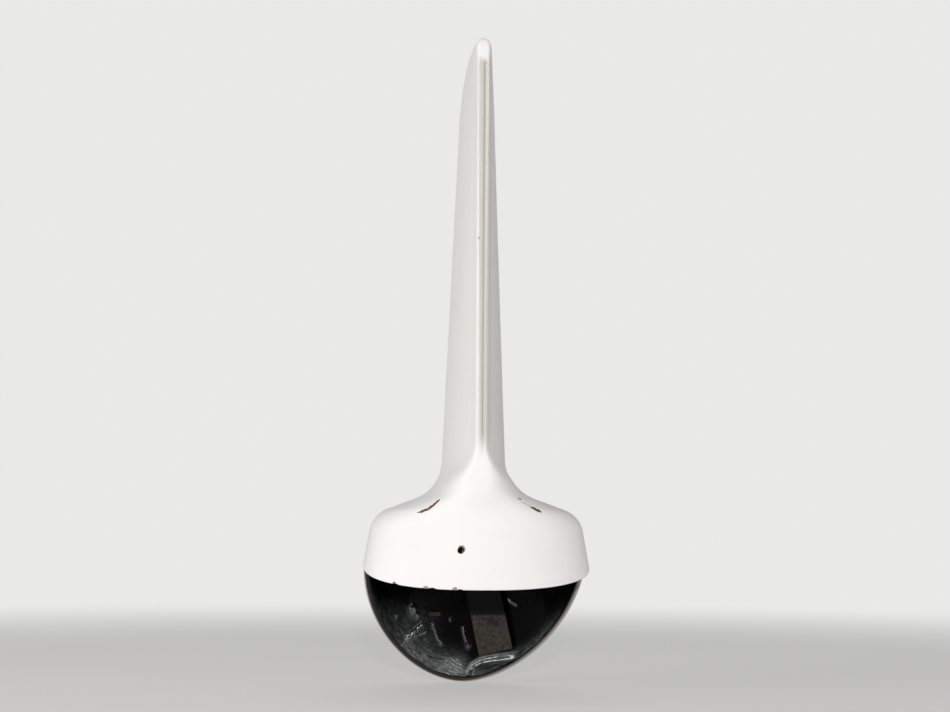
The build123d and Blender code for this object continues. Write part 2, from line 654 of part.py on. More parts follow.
fairing_shell.part.label = "fairing_shell"
export_step(fairing_shell.part, "parts/fairing_shell.step")
radiator_strip.part.label = "radiator_strip"
export_step(radiator_strip.part, "parts/radiator_strip.step")
root_seal.part.label = "root_seal"
export_step(root_seal.part, "parts/root_seal.step")
feed_board.part.label = "feed_board"
export_step(feed_board.part, "parts/feed_board.step")
board_washers.part.label = "board_washers"
export_step(board_washers.part, "parts/board_washers.step")
board_screws.part.label = "board_screws"
export_step(board_screws.part, "parts/board_screws.step")
ground_strap.part.label = "ground_strap"
export_step(ground_strap.part, "parts/ground_strap.step")
strap_bond.part.label = "strap_bond"
export_step(strap_bond.part, "parts/strap_bond.step")
bonding_tab.part.label = "bonding_tab"
export_step(bonding_tab.part, "parts/bonding_tab.step")
connector_body.part.label = "connector_body"
export_step(connector_body.part, "parts/connector_body.step")
connector_insulator.part.label = "connector_insulator"
export_step(connector_insulator.part, "parts/connector_insulator.step")
connector_contact.part.label = "connector_contact"
export_step(connector_contact.part, "parts/connector_contact.step")
connector_screws.part.label = "connector_screws"
export_step(connector_screws.part, "parts/connector_screws.step")
connector_nuts.part.label = "connector_nuts"
export_step(connector_nuts.part, "parts/connector_nuts.step")
matching_coil.part.label = "matching_coil"
export_step(matching_coil.part, "parts/matching_coil.step")
tuning_capacitor.part.label = "tuning_capacitor"
export_step(tuning_capacitor.part, "parts/tuning_capacitor.step")
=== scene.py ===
"""Blade antenna with a wide hollow pod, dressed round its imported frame, on a pale floor.

Shapes are worked out in millimetres in the part's own frame: +Z up the mast, -Y the blunt near edge and +Y
the nose.
"""
import math

import bpy
import numpy as np
from mathutils import Matrix, Vector


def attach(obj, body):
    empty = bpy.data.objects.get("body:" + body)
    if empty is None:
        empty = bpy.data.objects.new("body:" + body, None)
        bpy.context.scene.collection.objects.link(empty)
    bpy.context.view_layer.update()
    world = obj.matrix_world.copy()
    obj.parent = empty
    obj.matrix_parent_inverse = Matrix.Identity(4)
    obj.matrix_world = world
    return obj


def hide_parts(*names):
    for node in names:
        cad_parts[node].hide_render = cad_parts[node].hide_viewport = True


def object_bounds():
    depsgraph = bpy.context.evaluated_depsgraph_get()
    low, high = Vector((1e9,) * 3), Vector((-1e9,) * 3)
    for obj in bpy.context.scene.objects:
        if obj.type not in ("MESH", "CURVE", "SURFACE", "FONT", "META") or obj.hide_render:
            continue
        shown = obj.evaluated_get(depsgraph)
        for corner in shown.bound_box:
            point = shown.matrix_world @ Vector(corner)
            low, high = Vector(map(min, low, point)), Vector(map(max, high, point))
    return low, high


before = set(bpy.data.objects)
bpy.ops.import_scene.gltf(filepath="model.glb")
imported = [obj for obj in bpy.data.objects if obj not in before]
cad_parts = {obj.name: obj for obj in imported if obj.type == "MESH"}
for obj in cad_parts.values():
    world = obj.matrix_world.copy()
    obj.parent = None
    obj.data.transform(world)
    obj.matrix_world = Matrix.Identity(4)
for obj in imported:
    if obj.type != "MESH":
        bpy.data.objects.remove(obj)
cad_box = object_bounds()

bl_info = {
    "name": "Blade antenna",
    "version": (1, 0, 0),
    "blender": (4, 5, 0),
    "location": "3D View > Sidebar > Antenna",
    "description": "Builds the painted fairing, the resin inside it and the feed parts of a blade antenna",
    "category": "Object",
}

MM = 0.001
BODY = "root"

# Millimetres round the wall of the nose for one degree of turn
ROUND_NOSE = 1.15

# Cracks in the paint: centre across, height, slope, bend, half length, half width and how dark
CRACKS = (
    (-24.3, 38.5, 0.62, 0.045, 5.6, 0.75, 1.0),
    (26.6, 38.2, -0.42, 0.02, 2.9, 0.7, 1.0),
    (18.8, 43.2, -0.3, 0.0, 0.8, 0.35, 0.9),
    (21.6, 41.0, -0.45, 0.0, 2.6, 0.3, 0.3),
)

# Spots where the paint is lost: place, radius and how much pale primer shows
SPECKS = (
    ((-40.4, -37.9, 3.2), 0.8, 0.1),
    ((-25.6, -42.8, 0.7), 1.6, 1.0),
    ((-22.4, -43.2, 0.3), 1.1, 0.4),
    ((-12.0, -44.4, 0.5), 1.3, 0.9),
    ((-8.9, -44.0, 19.5), 1.85, 0.6),
    ((1.2, -44.0, 252.6), 0.3, 0.2),
    ((-1.9, -45.1, 167.0), 0.4, 0.0),
    ((11.7, -13.7, 92.4), 0.4, 0.0),
    ((52.3, -2.5, 20.0), 0.5, 0.3),
)

# Lumps of resin in the nose: angle round the pod, height, spreads round and up, and how proud they stand
LUMPS = (
    (211.0, -14.0, 2.6, 2.6, 2.6),
    (207.5, -17.5, 1.5, 1.5, 1.5),
    (222.5, -16.5, 1.1, 1.1, 1.3),
    (188.0, -19.0, 0.8, 0.8, 0.7),
    (192.5, -32.0, 1.0, 0.8, 0.9),
    (178.5, -33.0, 1.2, 1.6, 1.0),
    (156.5, -9.0, 1.0, 1.0, 0.25),
)

# Runs of resin: corners by angle and height, half width, and how proud they stand
RUNS = (
    (((204.5, -22.0), (208.5, -25.5), (212.5, -28.0)), 1.6, 1.7),
    (((201.5, -25.5), (207.0, -27.5), (213.5, -29.5), (217.0, -32.5)), 0.6, 0.9),
    (((198.0, -21.5), (196.0, -26.0), (194.5, -29.5), (192.5, -31.5)), 0.7, 0.8),
    (((181.0, -24.0), (180.0, -28.5), (178.5, -33.0)), 0.9, 0.8),
    (((175.5, -45.5), (175.5, -49.0)), 0.4, 0.4),
    (((157.0, -8.5), (152.0, -11.0)), 0.5, 0.15),
)

# Line of the torn flap's fold at the right of the nose: corners by angle and height
FOLD = ((152.0, -33.5), (157.0, -35.0), (165.0, -36.2), (172.0, -37.8), (177.5, -41.5), (180.0, -47.0))

# Wrinkles at the foot of the nose: angle and height of their middle, and spreads round and up
WRINKLES = (187.0, -44.0, 7.5, 4.5)

# Beige run down the resin at the foot of the nose, and a dark mark on the strap
RIM_STREAK = (4.7, 68.0, -47.5)
STRAP_MARK = (12.8, 59.4, -22.0)

# Chips in the paint along the near rim: place across, spread and depth
RIM_CHIPS = ((-38.0, 1.0, 0.5), (-22.0, 1.2, 0.6), (-9.5, 0.8, 0.5))

# Colour and strength of the pale surrounding, and how much of it the floor shows close to the part
SURROUNDING = (1.0, 0.995, 0.99)
SURROUNDING_STRENGTH = 0.82
FLOOR_LIFT = 0.45

# Distances from the part between which the floor turns into the surrounding
FLOOR_BLEND = (400.0, 1100.0)

# Half the floor's length, its lines each way and how far it lies under the part
FLOOR_REACH = 30000.0
FLOOR_LINES = 13
FLOOR_DROP = 0.02

# Height at which the lamps are aimed, in metres
LAMP_AIM_Z = 0.07

# Steps across the cut rim, as shares of the wall
RIM_STEPS = np.array([0.03, 0.08, 0.14, 0.2, 0.3, 0.5, 0.7, 0.86, 0.92, 0.97])

# Angles of a quarter ellipse for the rows over the tip, closest at its top, and over the hollow's end
TIP_ANGLES = np.concatenate([[3, 6], np.arange(10, 71, 4), [73, 76, 79, 81.5, 84, 86, 87.5, 88.7]])
HOLLOW_ANGLES = np.arange(7.0, 29.0, 7.0)

# How far the tip's pole lies under the top of the mast
POLE_DROP = 0.01

# How far under and over its foot the groove fades in, and how far behind the near edge it may cut
GROOVE_FADE_UNDER = 6.0
GROOVE_FADE_OVER = 14.0
GROOVE_REACH = 2.0

# Columns and rows of random values, after which a noise repeats
NOISE_SIZE = (97, 101)

# Halvings that find a column's foot on the saddle line, and sides of the drilled hole
HALVINGS = 30
HOLE_SIDES = 48

# One step for each straight run and arc of the front outline
ONE_STEP_EACH = (1, 1, 1, 1, 1)

# How far above the rim the resin ends, how far its back lies in the wall, and the power by which its rows
# close up towards the rim
RESIN_LIFT = 0.25
RESIN_SUNK = 0.08
RESIN_ROW_POWER = 1.2


# Settings

def length_setting(name, description, default):
    """A size that a user can change, in metres."""
    return bpy.props.FloatProperty(name=name, description=description, default=default, unit="LENGTH")


def angle_setting(name, description, degrees):
    """An angle that a user can change, given in degrees."""
    return bpy.props.FloatProperty(
        name=name, description=description, default=math.radians(degrees), subtype="ANGLE")


def number_setting(name, description, default):
    """A plain number that a user can change."""
    return bpy.props.FloatProperty(name=name, description=description, default=default)


def colour_setting(name, description, default):
    """A colour that a user can change."""
    return bpy.props.FloatVectorProperty(
        name=name, description=description, default=default, size=3, subtype="COLOR", min=0, max=1)


def setting_names(settings):
    """Names of the values in a group of settings."""
    return [name for name in settings.bl_rna.properties.keys() if name not in ("rna_type", "name")]


class FairingSettings(bpy.types.PropertyGroup):
    """Outline of the moulding, as the solids have it, with a flare and a dome that they lack."""

    wall: length_setting("Wall", "Thickness of the moulding", 0.0025)
    seam_depth: length_setting("Seam depth", "Solid depth behind the near edge of the mast", 0.008)
    pod_half_width: length_setting("Pod half width", "Half the pod's width at the seat datum", 0.057)
    pod_near_y: length_setting("Pod near end", "Near end of the pod at the seat datum", -0.0447)
    pod_far_y: length_setting("Pod far end", "Tip of the nose at the seat datum", 0.0597)
    pod_broad_y: length_setting("Pod broadest", "Where the pod is broadest", -0.0134)
    pod_squareness: number_setting(
        "Pod squareness", "Power of the superellipse of the pod's near half", 2.42)
    nose_fullness: number_setting("Nose fullness", "Power of the superellipse of the pod's far half", 1.82)
    mast_fullness: number_setting("Mast fullness", "Power of the superellipse of the mast's far half", 2.0)
    side_draft: angle_setting("Side draft", "Lean of the pod's sides", 10.3)
    near_draft: angle_setting("Near draft", "Lean of the pod's near face", 2.0)
    far_draft: angle_setting("Far draft", "Lean of the nose", 14.2)
    skirt_depth: length_setting("Skirt depth", "How far the outline runs on below the datum", 0.06)
    shoulder_z: length_setting("Shoulder height", "Height where side and roof would meet", 0.0356)
    shoulder_radius: length_setting("Shoulder radius", "Round of the shoulder", 0.014)
    roof_rise: angle_setting("Roof rise", "Slope of the pod's roof", 20.8)
    root_radius: length_setting("Root radius", "Fillet from roof to mast", 0.0206)
    root_half_width: length_setting("Root half width", "Half width of the mast at its root", 0.0163)
    mast_half_width_top: length_setting(
        "Mast half width", "Half width of the mast where its tip begins", 0.0084)
    mast_broad_top_z: length_setting("Tip start", "Height where the tip begins to round off", 0.2368)
    mast_top_z: length_setting("Mast top", "Height of the tip", 0.2653)
    mast_near_y: length_setting("Mast near edge", "Near edge of the mast", -0.0451)
    mast_far_y: length_setting("Mast far edge", "Far edge of the mast at its root", 0.0466)
    mast_far_y_top: length_setting("Mast far edge, top", "Far edge of the mast below its tip", 0.0325)
    mast_broad_y: length_setting("Mast broadest", "Where the mast is broadest at its root", 0.0106)
    mast_broad_y_top: length_setting(
        "Mast broadest, top", "Where the mast is broadest below its tip", 0.004)
    edge_half_width: length_setting(
        "Near edge half width", "Half width of the blunt near edge at the root", 0.0035)
    edge_half_width_top: length_setting(
        "Near edge half width, top", "Half width of the blunt near edge below the tip", 0.0037)
    edge_squareness: number_setting(
        "Edge squareness", "Power of the superellipse of the mast's near half", 8.0)
    flare: number_setting("Flare", "Share of the near edge's draw-in that is left at the pod", 0.15)
    flare_foot_z: length_setting("Flare foot", "Height where the near edge begins to draw in", 0.047)
    flare_top_z: length_setting("Flare top", "Height where the near edge has its full shape", 0.068)
    side_fullness: number_setting(
        "Side fullness", "Power by which the sides draw in towards the near edge", 1.6)
    tip_setback: length_setting("Tip setback", "How far the near edge leans back at the tip", 0.003)
    tip_narrowing: number_setting("Tip narrowing", "Share of its width that the tip loses evenly", 0.25)
    tip_fullness: number_setting(
        "Tip fullness", "Power by which the tip's width shrinks with its chord", 0.33)
    saddle_near_slope: angle_setting("Saddle near slope", "Rise of the rim from the near side", 20.5)
    saddle_far_slope: angle_setting("Saddle far slope", "Fall of the rim to the nose", 38.7)
    saddle_tip_z: length_setting("Saddle tip", "Lowest point of the rim, at the nose", -0.0522)
    saddle_radius: length_setting("Saddle radius", "Round of the rim's arch", 0.019)
    groove_radius: length_setting("Groove radius", "Radius of the bond line's groove at the top", 0.0034)
    groove_depth: length_setting("Groove depth", "Depth of that groove at the top", 0.001)
    groove_foot_radius: length_setting("Groove foot radius", "Radius of the groove where it fades", 0.0018)
    groove_foot_depth: length_setting("Groove foot depth", "Depth of the groove where it fades", 0.0002)
    groove_foot_z: length_setting("Groove foot", "Height where the groove fades", 0.066)
    groove_top_z: length_setting("Groove top", "Height where the groove begins to run out", 0.2535)
    groove_run_out: length_setting("Groove run-out", "Height over which the groove runs out", 0.0025)
    dome_radius: length_setting("Dome radius", "Round of the near edge's top, seen from the front", 0.0046)
    dome_lean: length_setting("Dome lean", "How far that round leans back", 0.001)
    lip: length_setting("Lip", "Round of the cut rim", 0.0005)
    hole_x: length_setting("Hole X", "Drilled hole, across", -0.0093)
    hole_z: length_setting("Hole Z", "Drilled hole, height", 0.0188)
    hole_radius: length_setting("Hole radius", "Radius of the drilled hole", 0.0016)


class FinishSettings(bpy.types.PropertyGroup):
    """Colours of the finishes."""

    paint: colour_setting("Paint", "White paint of the fairing", (0.80, 0.785, 0.765))
    laminate: colour_setting("Laminate", "Glass laminate where paint is lost", (0.20, 0.075, 0.022))
    cut_edge: colour_setting("Cut edge", "Cut rim of the laminate", (0.50, 0.46, 0.40))
    resin: colour_setting("Resin", "Black resin inside the pod", (0.0022, 0.0022, 0.0026))
    strap: colour_setting("Strap", "Dull tinned strap", (0.050, 0.045, 0.036))
    copper: colour_setting("Copper", "Dull copper", (0.62, 0.30, 0.17))
    brass: colour_setting("Brass", "Dull brass", (0.55, 0.40, 0.16))
    steel: colour_setting("Steel", "Plated screws", (0.55, 0.54, 0.51))
    nickel: colour_setting("Nickel", "Plating of the jack", (0.62, 0.59, 0.54))
    board: colour_setting("Board", "Glass-epoxy board", (0.17, 0.12, 0.045))
    insulator: colour_setting("Insulator", "Insulator of the jack", (0.78, 0.77, 0.73))
    disc: colour_setting("Disc", "Dipped ceramic disc", (0.40, 0.17, 0.05))


class StageSettings(bpy.types.PropertyGroup):
    """Camera, lamps and floor."""

    azimuth: angle_setting("Azimuth", "Turn of the camera round the part", -4.02)
    elevation: angle_setting("Elevation", "Height angle of the camera over its target", -5.019)
    roll: angle_setting("Roll", "Roll of the camera", 0.401)
    distance: length_setting("Distance", "From the camera to its target", 0.9072)
    target_z: length_setting("Target height", "Height of the camera's target", 0.110)
    focal: number_setting("Focal length", "Focal length in millimetres on a 36 mm sensor", 68.957)
    shift_x: number_setting("Shift X", "Sideways shift of the frame", -0.00045)
    shift_y: number_setting("Shift Y", "Upward shift of the frame", 0.00993)
    floor: colour_setting("Floor", "Colour of floor and backdrop", (0.72, 0.71, 0.70))
    key_power: number_setting("Key power", "Power of the key lamp", 6.0)
    fill_power: number_setting("Fill power", "Power of the fill lamp", 10.5)
    side_power: number_setting("Side power", "Power of the low lamp on the right", 3.6)
    ambient: number_setting("Ambient", "Strength of the surrounding light", 0.2)


# Shapes

def from_line(u, v, corners):
    """Distance of each point from a line through corners given by angle round the pod and height."""
    places = [np.array([angle * ROUND_NOSE, height]) for angle, height in corners]
    nearest = np.full(np.broadcast(u, v).shape, np.inf)
    for start, end in zip(places[:-1], places[1:]):
        run = end - start
        share = np.clip(((u - start[0]) * run[0] + (v - start[1]) * run[1]) / (run @ run), 0.0, 1.0)
        nearest = np.minimum(nearest, np.hypot(u - start[0] - share * run[0], v - start[1] - share * run[1]))
    return nearest


def smooth_step(value, low, high):
    """0 below low and 1 above high, with the cubic 3t^2 - 2t^3 between them."""
    t = np.clip((value - low) / (high - low), 0.0, 1.0)
    return t * t * (3.0 - 2.0 * t)


def band(value, low, full, late, high):
    """0 below low, 1 from full to late and 0 above high, with the cubic of smooth_step at both ends."""
    return smooth_step(value, low, full) * (1 - smooth_step(value, late, high))


def bump(value, centre, spread):
    """Bell curve: e to the power of minus the squared distance from centre over spread."""
    return np.exp(-(((value - centre) / spread) ** 2))


def lattice_noise(u, v, seed):
    """Noise from -1 to 1: random values on whole numbers of u and v, joined by the cubic 3t^2 - 2t^3."""
    columns, rows = NOISE_SIZE
    values = np.random.default_rng(seed).uniform(-1.0, 1.0, NOISE_SIZE)
    left, low = np.floor(u).astype(int), np.floor(v).astype(int)
    across, up = u - left, v - low
    across, up = across * across * (3 - 2 * across), up * up * (3 - 2 * up)

    def corner(i, j):
        return values[(left + i) % columns, (low + j) % rows]

    lower = corner(0, 0) * (1 - across) + corner(1, 0) * across
    upper = corner(0, 1) * (1 - across) + corner(1, 1) * across
    return lower * (1 - up) + upper * up


def rounded_path(corners, radii, counts):
    """Points and unit slopes along straight runs joined by arcs that touch both runs.

    counts has the number of steps of each run and arc in turn. Points and slopes come back for each of them.
    """
    corners = [np.array(corner, float) for corner in corners]
    pieces = []
    start = corners[0]
    for index, radius in enumerate(radii):
        corner, after = corners[index + 1], corners[index + 2]
        before = (corner - corners[index]) / np.linalg.norm(corner - corners[index])
        behind = (after - corner) / np.linalg.norm(after - corner)
        turn = math.acos(float(np.clip(before @ behind, -1, 1)))
        reach = radius * math.tan(turn / 2)
        side = np.sign(before[0] * behind[1] - before[1] * behind[0])
        normal = np.array([-before[1], before[0]]) * side
        first, last = corner - before * reach, corner + behind * reach
        pieces.append(straight(start, first, counts[2 * index]))
        angle = np.linspace(0.0, turn, counts[2 * index + 1] + 1)[:, None]
        points = first + normal * radius * (1 - np.cos(angle)) + before * radius * np.sin(angle)
        pieces.append((points, before * np.cos(angle) + normal * np.sin(angle)))
        start = last
    pieces.append(straight(start, corners[-1], counts[-1]))
    return pieces


def straight(start, end, count):
    """Evenly spaced points from start to end, and their one slope."""
    share = np.linspace(0.0, 1.0, count + 1)[:, None]
    slope = (end - start) / np.linalg.norm(end - start)
    return start + (end - start) * share, np.repeat(slope[None, :], count + 1, axis=0)


class Moulding:
    """The moulding's sections, in millimetres, from the same named sizes as the solids."""

    def __init__(self, settings):
        for name in setting_names(settings):
            value = getattr(settings, name)
            in_metres = settings.bl_rna.properties[name].unit == "LENGTH"
            setattr(self, name, value / MM if in_metres else value)
        self.shoulder_x = self.pod_half_width - self.shoulder_z * math.tan(self.side_draft)
        self.roof_z = self.shoulder_z + (self.shoulder_x - self.root_half_width) * math.tan(self.roof_rise)
        far_y = self.pod_far_y - self.saddle_tip_z * math.tan(self.far_draft)
        near_rise, far_fall = math.tan(self.saddle_near_slope), math.tan(self.saddle_far_slope)
        drop = (far_y - self.pod_near_y) * far_fall + self.saddle_tip_z
        crown_y = self.pod_near_y + drop / (near_rise + far_fall)
        crown_z = (crown_y - self.pod_near_y) * near_rise
        margin = self.skirt_depth
        saddle = rounded_path(
            [(self.pod_near_y - margin, -margin * near_rise), (crown_y, crown_z),
             (far_y + margin, self.saddle_tip_z - margin * far_fall)],
            [self.saddle_radius], [60, 60, 60])
        self.saddle = np.concatenate([points for points, _ in saddle])

    def outline(self, counts):
        """Skirt, shoulder, roof, root and mast of the right half, seen from the front."""
        return rounded_path(
            [(self.pod_half_width + self.skirt_depth * math.tan(self.side_draft), -self.skirt_depth),
             (self.shoulder_x, self.shoulder_z), (self.root_half_width, self.roof_z),
             (self.mast_half_width_top, self.mast_broad_top_z)],
            [self.shoulder_radius, self.root_radius], counts)

    def sizes(self, half_width, height):
        """Near end, broadest place, far end, draw-in and squareness at a point of the front outline.

        Each runs from the pod's value to the mast's with settled, which is 0 at the shoulder and 1 at the
        mast's root. Draw-in and squareness follow its square, times a share that climbs from flare to 1 over
        the flare's height.
        """
        settled = np.clip((self.shoulder_x - half_width) / (self.shoulder_x - self.root_half_width), 0, 1)
        climbed = np.clip((height - self.roof_z) / (self.mast_broad_top_z - self.roof_z), 0, 1)
        above_flare = smooth_step(height, self.flare_foot_z, self.flare_top_z)
        edged = settled**2 * (self.flare + (1 - self.flare) * above_flare)
        pod_near = self.pod_near_y + height * math.tan(self.near_draft)
        pod_far = self.pod_far_y - height * math.tan(self.far_draft)
        mast_far = self.mast_far_y + (self.mast_far_y_top - self.mast_far_y) * climbed
        mast_broad = self.mast_broad_y + (self.mast_broad_y_top - self.mast_broad_y) * climbed
        edge = self.edge_half_width + (self.edge_half_width_top - self.edge_half_width) * climbed
        return {
            "height": height,
            "half_width": half_width,
            "near": pod_near + (self.mast_near_y - pod_near) * settled,
            "broad": self.pod_broad_y + (mast_broad - self.pod_broad_y) * settled,
            "far": pod_far + (mast_far - pod_far) * settled,
            "draw_in": (1 - edge / half_width) * edged,
            "squareness": self.pod_squareness + (self.edge_squareness - self.pod_squareness) * edged,
            "fullness": self.nose_fullness + (self.mast_fullness - self.nose_fullness) * settled,
            "settled": settled,
        }

    def tip_sizes(self, angle):
        """The rounded tip: the chord shrinks as a quarter of an ellipse, the width at first evenly."""
        half_width = np.full_like(angle, self.mast_half_width_top)
        sizes = self.sizes(half_width, np.full_like(angle, self.mast_broad_top_z))
        shrink = np.cos(angle)
        near = sizes["near"] + self.tip_setback * (1 - shrink)
        sizes["height"] = self.mast_broad_top_z + (self.mast_top_z - self.mast_broad_top_z) * np.sin(angle)
        narrowing = 1 - self.tip_narrowing * np.sin(angle)
        sizes["half_width"] = sizes["half_width"] * narrowing * shrink**self.tip_fullness
        sizes["draw_in"] = np.maximum(1 - self.edge_half_width_top / sizes["half_width"], 0.0)
        sizes["broad"] = near + (sizes["broad"] - sizes["near"]) * shrink
        sizes["far"] = near + (sizes["far"] - sizes["near"]) * shrink
        sizes["near"] = near
        return sizes

    def inset(self, sizes, slope, depth_in=None):
        """The same sections one wall further in, square to the outline, and clear of the solid near edge."""
        wall = self.wall if depth_in is None else depth_in
        depth = wall + (self.seam_depth - self.wall) * sizes["settled"] ** 2
        reach = 1 - depth / (sizes["broad"] - sizes["near"])
        edge = sizes["half_width"] * (1 - sizes["draw_in"] * reach**self.side_fullness) - wall
        half_width = sizes["half_width"] - wall * slope[1]
        inner = dict(sizes)
        inner["height"] = sizes["height"] + wall * slope[0]
        inner["half_width"] = half_width
        inner["near"] = sizes["near"] + depth
        inner["far"] = sizes["far"] - wall
        inner["draw_in"] = np.maximum(1 - edge / half_width, 0.0) * sizes["settled"] ** 2
        return inner

    def ring(self, sizes, around):
        """Points of sections at the angles around: 0 at the near end, 90 degrees at +X and 180 at the nose.

        Both halves are superellipses. The near one's sides draw in towards its end.
        """
        along, across = np.cos(around), np.sin(around)
        sideways = np.abs(across)
        square = sizes["squareness"]
        reach = (np.abs(along) ** square + sideways**square) ** (-1 / square)
        narrowing = 1 - sizes["draw_in"] * np.clip(along * reach, 0, None) ** self.side_fullness
        near_x = sizes["half_width"] * across * reach * narrowing
        near_y = sizes["broad"] - (sizes["broad"] - sizes["near"]) * along * reach
        full = sizes["fullness"]
        far_reach = (np.abs(along) ** full + sideways**full) ** (-1 / full)
        far_x = sizes["half_width"] * across * far_reach
        far_y = sizes["broad"] - (sizes["far"] - sizes["broad"]) * along * far_reach
        x = np.where(along >= 0, near_x, far_x)
        y = np.where(along >= 0, near_y, far_y)
        z = np.broadcast_to(sizes["height"], x.shape)
        return np.stack([x, y, z], axis=-1)

    def skirt(self, around, share, depth_in=0.0, lift=0.0):
        """Rows of the skirt from the saddle line, at share 0, to the top of the skirt, at share 1.

        Each column's foot is found by halving the interval of heights in which it crosses the saddle line.
        """
        foot, head, slope = self.skirt_run

        def place(height):
            half_width = foot[0] + (head[0] - foot[0]) * (height - foot[1]) / (head[1] - foot[1])
            sizes = self.sizes(half_width, height)
            if depth_in:
                sizes = self.inset(sizes, slope, depth_in)
            return self.ring(sizes, around)

        low, high = np.full(around.shape, foot[1]), np.full(around.shape, head[1])
        for _ in range(HALVINGS):
            middle = (low + high) / 2
            points = place(middle)
            above = points[..., 2] > np.interp(points[..., 1], self.saddle[:, 0], self.saddle[:, 1])
            low, high = np.where(above, low, middle), np.where(above, middle, high)
        rim = (low + high) / 2 + lift
        heights = rim[None, :] + (head[1] - rim[None, :]) * share[:, None]
        return place(heights)

    @property
    def skirt_run(self):
        """Foot, head and slope of the skirt in the front outline."""
        points, slopes = self.outline(ONE_STEP_EACH)[0]
        return points[0], points[-1], slopes[0]

    def upper(self, around, counts, depth_in=0.0):
        """Rows over the shoulder, roof, root and mast, above the top of the skirt."""
        rows = []
        for points, slopes in self.outline([1, *counts])[1:]:
            sizes = self.sizes(points[1:, :1], points[1:, 1:])
            if depth_in:
                sizes = self.inset(sizes, (slopes[1:, :1], slopes[1:, 1:]), depth_in)
            rows.append(self.ring(sizes, around[None, :]))
        return rows


def closed_columns(counts, marks=(0.0, 30.0, 60.0, 90.0, 180.0)):
    """Angles all the way round, as many between two marks as counts says, mirrored for the second half."""
    runs = [np.linspace(low, high, count, endpoint=False)
            for low, high, count in zip(marks[:-1], marks[1:], counts)]
    half = np.concatenate([*runs, [180.0]])
    return np.radians(np.concatenate([half, 360.0 - half[-2:0:-1]]))


def rings_mesh(name, rings, start=None, end=None, join=False):
    """Mesh of rings of points, in millimetres, closed round each ring.

    start and end are pole points that close the two ends. join closes the last ring to the first one instead.
    Faces are turned so that the volume they enclose is positive.
    """
    rows, columns, _ = rings.shape
    points = rings.reshape(-1, 3)
    index = np.arange(rows * columns).reshape(rows, columns)
    if join:
        index = np.concatenate([index, index[:1]])
    here, there = index[:-1], index[1:]
    quads = np.stack([here, np.roll(here, -1, 1), np.roll(there, -1, 1), there], axis=-1).reshape(-1, 4)
    fans = []
    if start is not None:
        points = np.concatenate([points, [start]])
        pole = np.full(columns, len(points) - 1)
        fans.append(np.stack([pole, np.roll(index[0], -1), index[0]], axis=-1))
    if end is not None:
        points = np.concatenate([points, [end]])
        pole = np.full(columns, len(points) - 1)
        fans.append(np.stack([pole, index[-1], np.roll(index[-1], -1)], axis=-1))
    triangles = np.concatenate([quads[:, [0, 1, 2]], quads[:, [0, 2, 3]], *fans])
    a, b, c = (points[triangles[:, corner]] for corner in range(3))
    inward = np.einsum("ij,ij->i", a, np.cross(b, c)).sum() < 0
    faces = [quads, *fans]
    if inward:
        faces = [face[:, ::-1] for face in faces]
    mesh = bpy.data.meshes.new(name)
    mesh.from_pydata((points * MM).tolist(), [], [face for block in faces for face in block.tolist()])
    mesh.update()
    mesh.polygons.foreach_set("use_smooth", np.ones(len(mesh.polygons), bool))
    return mesh


def add_attribute(mesh, name, values):
    """A number for each vertex, which a material reads by name."""
    layer = mesh.attributes.new(name, "FLOAT", "POINT")
    layer.data.foreach_set("value", np.asarray(values, np.float32))


def add_piece(mesh, slot, *materials):
    """An object for the mesh, at the origin, with its materials, riding on the body. slot is not used."""
    piece = bpy.data.objects.new(mesh.name, mesh)
    bpy.context.scene.collection.objects.link(piece)
    for material in materials:
        mesh.materials.append(material)
    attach(piece, BODY)
    return piece


def drill(piece, moulding, material):
    """Cuts the drilled hole through the near wall by a round cutter, and gives the bore this material."""
    turns = np.linspace(0.0, 2 * math.pi, HOLE_SIDES, endpoint=False)
    y = moulding.pod_near_y + moulding.hole_z * math.tan(moulding.near_draft)
    reach = 3 * moulding.wall
    depth = np.array([-reach, 0.0, reach])[:, None]
    rings = np.stack(np.broadcast_arrays(
        moulding.hole_x + moulding.hole_radius * np.cos(turns)[None, :],
        y + depth,
        moulding.hole_z + moulding.hole_radius * np.sin(turns)[None, :]), axis=-1)
    start = (moulding.hole_x, y + depth[0, 0], moulding.hole_z)
    end = (moulding.hole_x, y + depth[-1, 0], moulding.hole_z)
    cutter_mesh = rings_mesh("drill_cutter", rings, start, end)
    cutter_mesh.materials.append(material)
    cutter = bpy.data.objects.new("drill_cutter", cutter_mesh)
    bpy.context.scene.collection.objects.link(cutter)
    cut = piece.modifiers.new("drill", "BOOLEAN")
    cut.operation = "DIFFERENCE"
    cut.object = cutter
    cut.solver = "EXACT"
    cut.material_mode = "TRANSFER"
    bpy.context.view_layer.update()
    cut_mesh = bpy.data.meshes.new_from_object(piece.evaluated_get(bpy.context.evaluated_depsgraph_get()))
    cut_mesh.name = piece.data.name
    piece.modifiers.clear()
    piece.data = cut_mesh
    bpy.data.objects.remove(cutter)


# Finishes

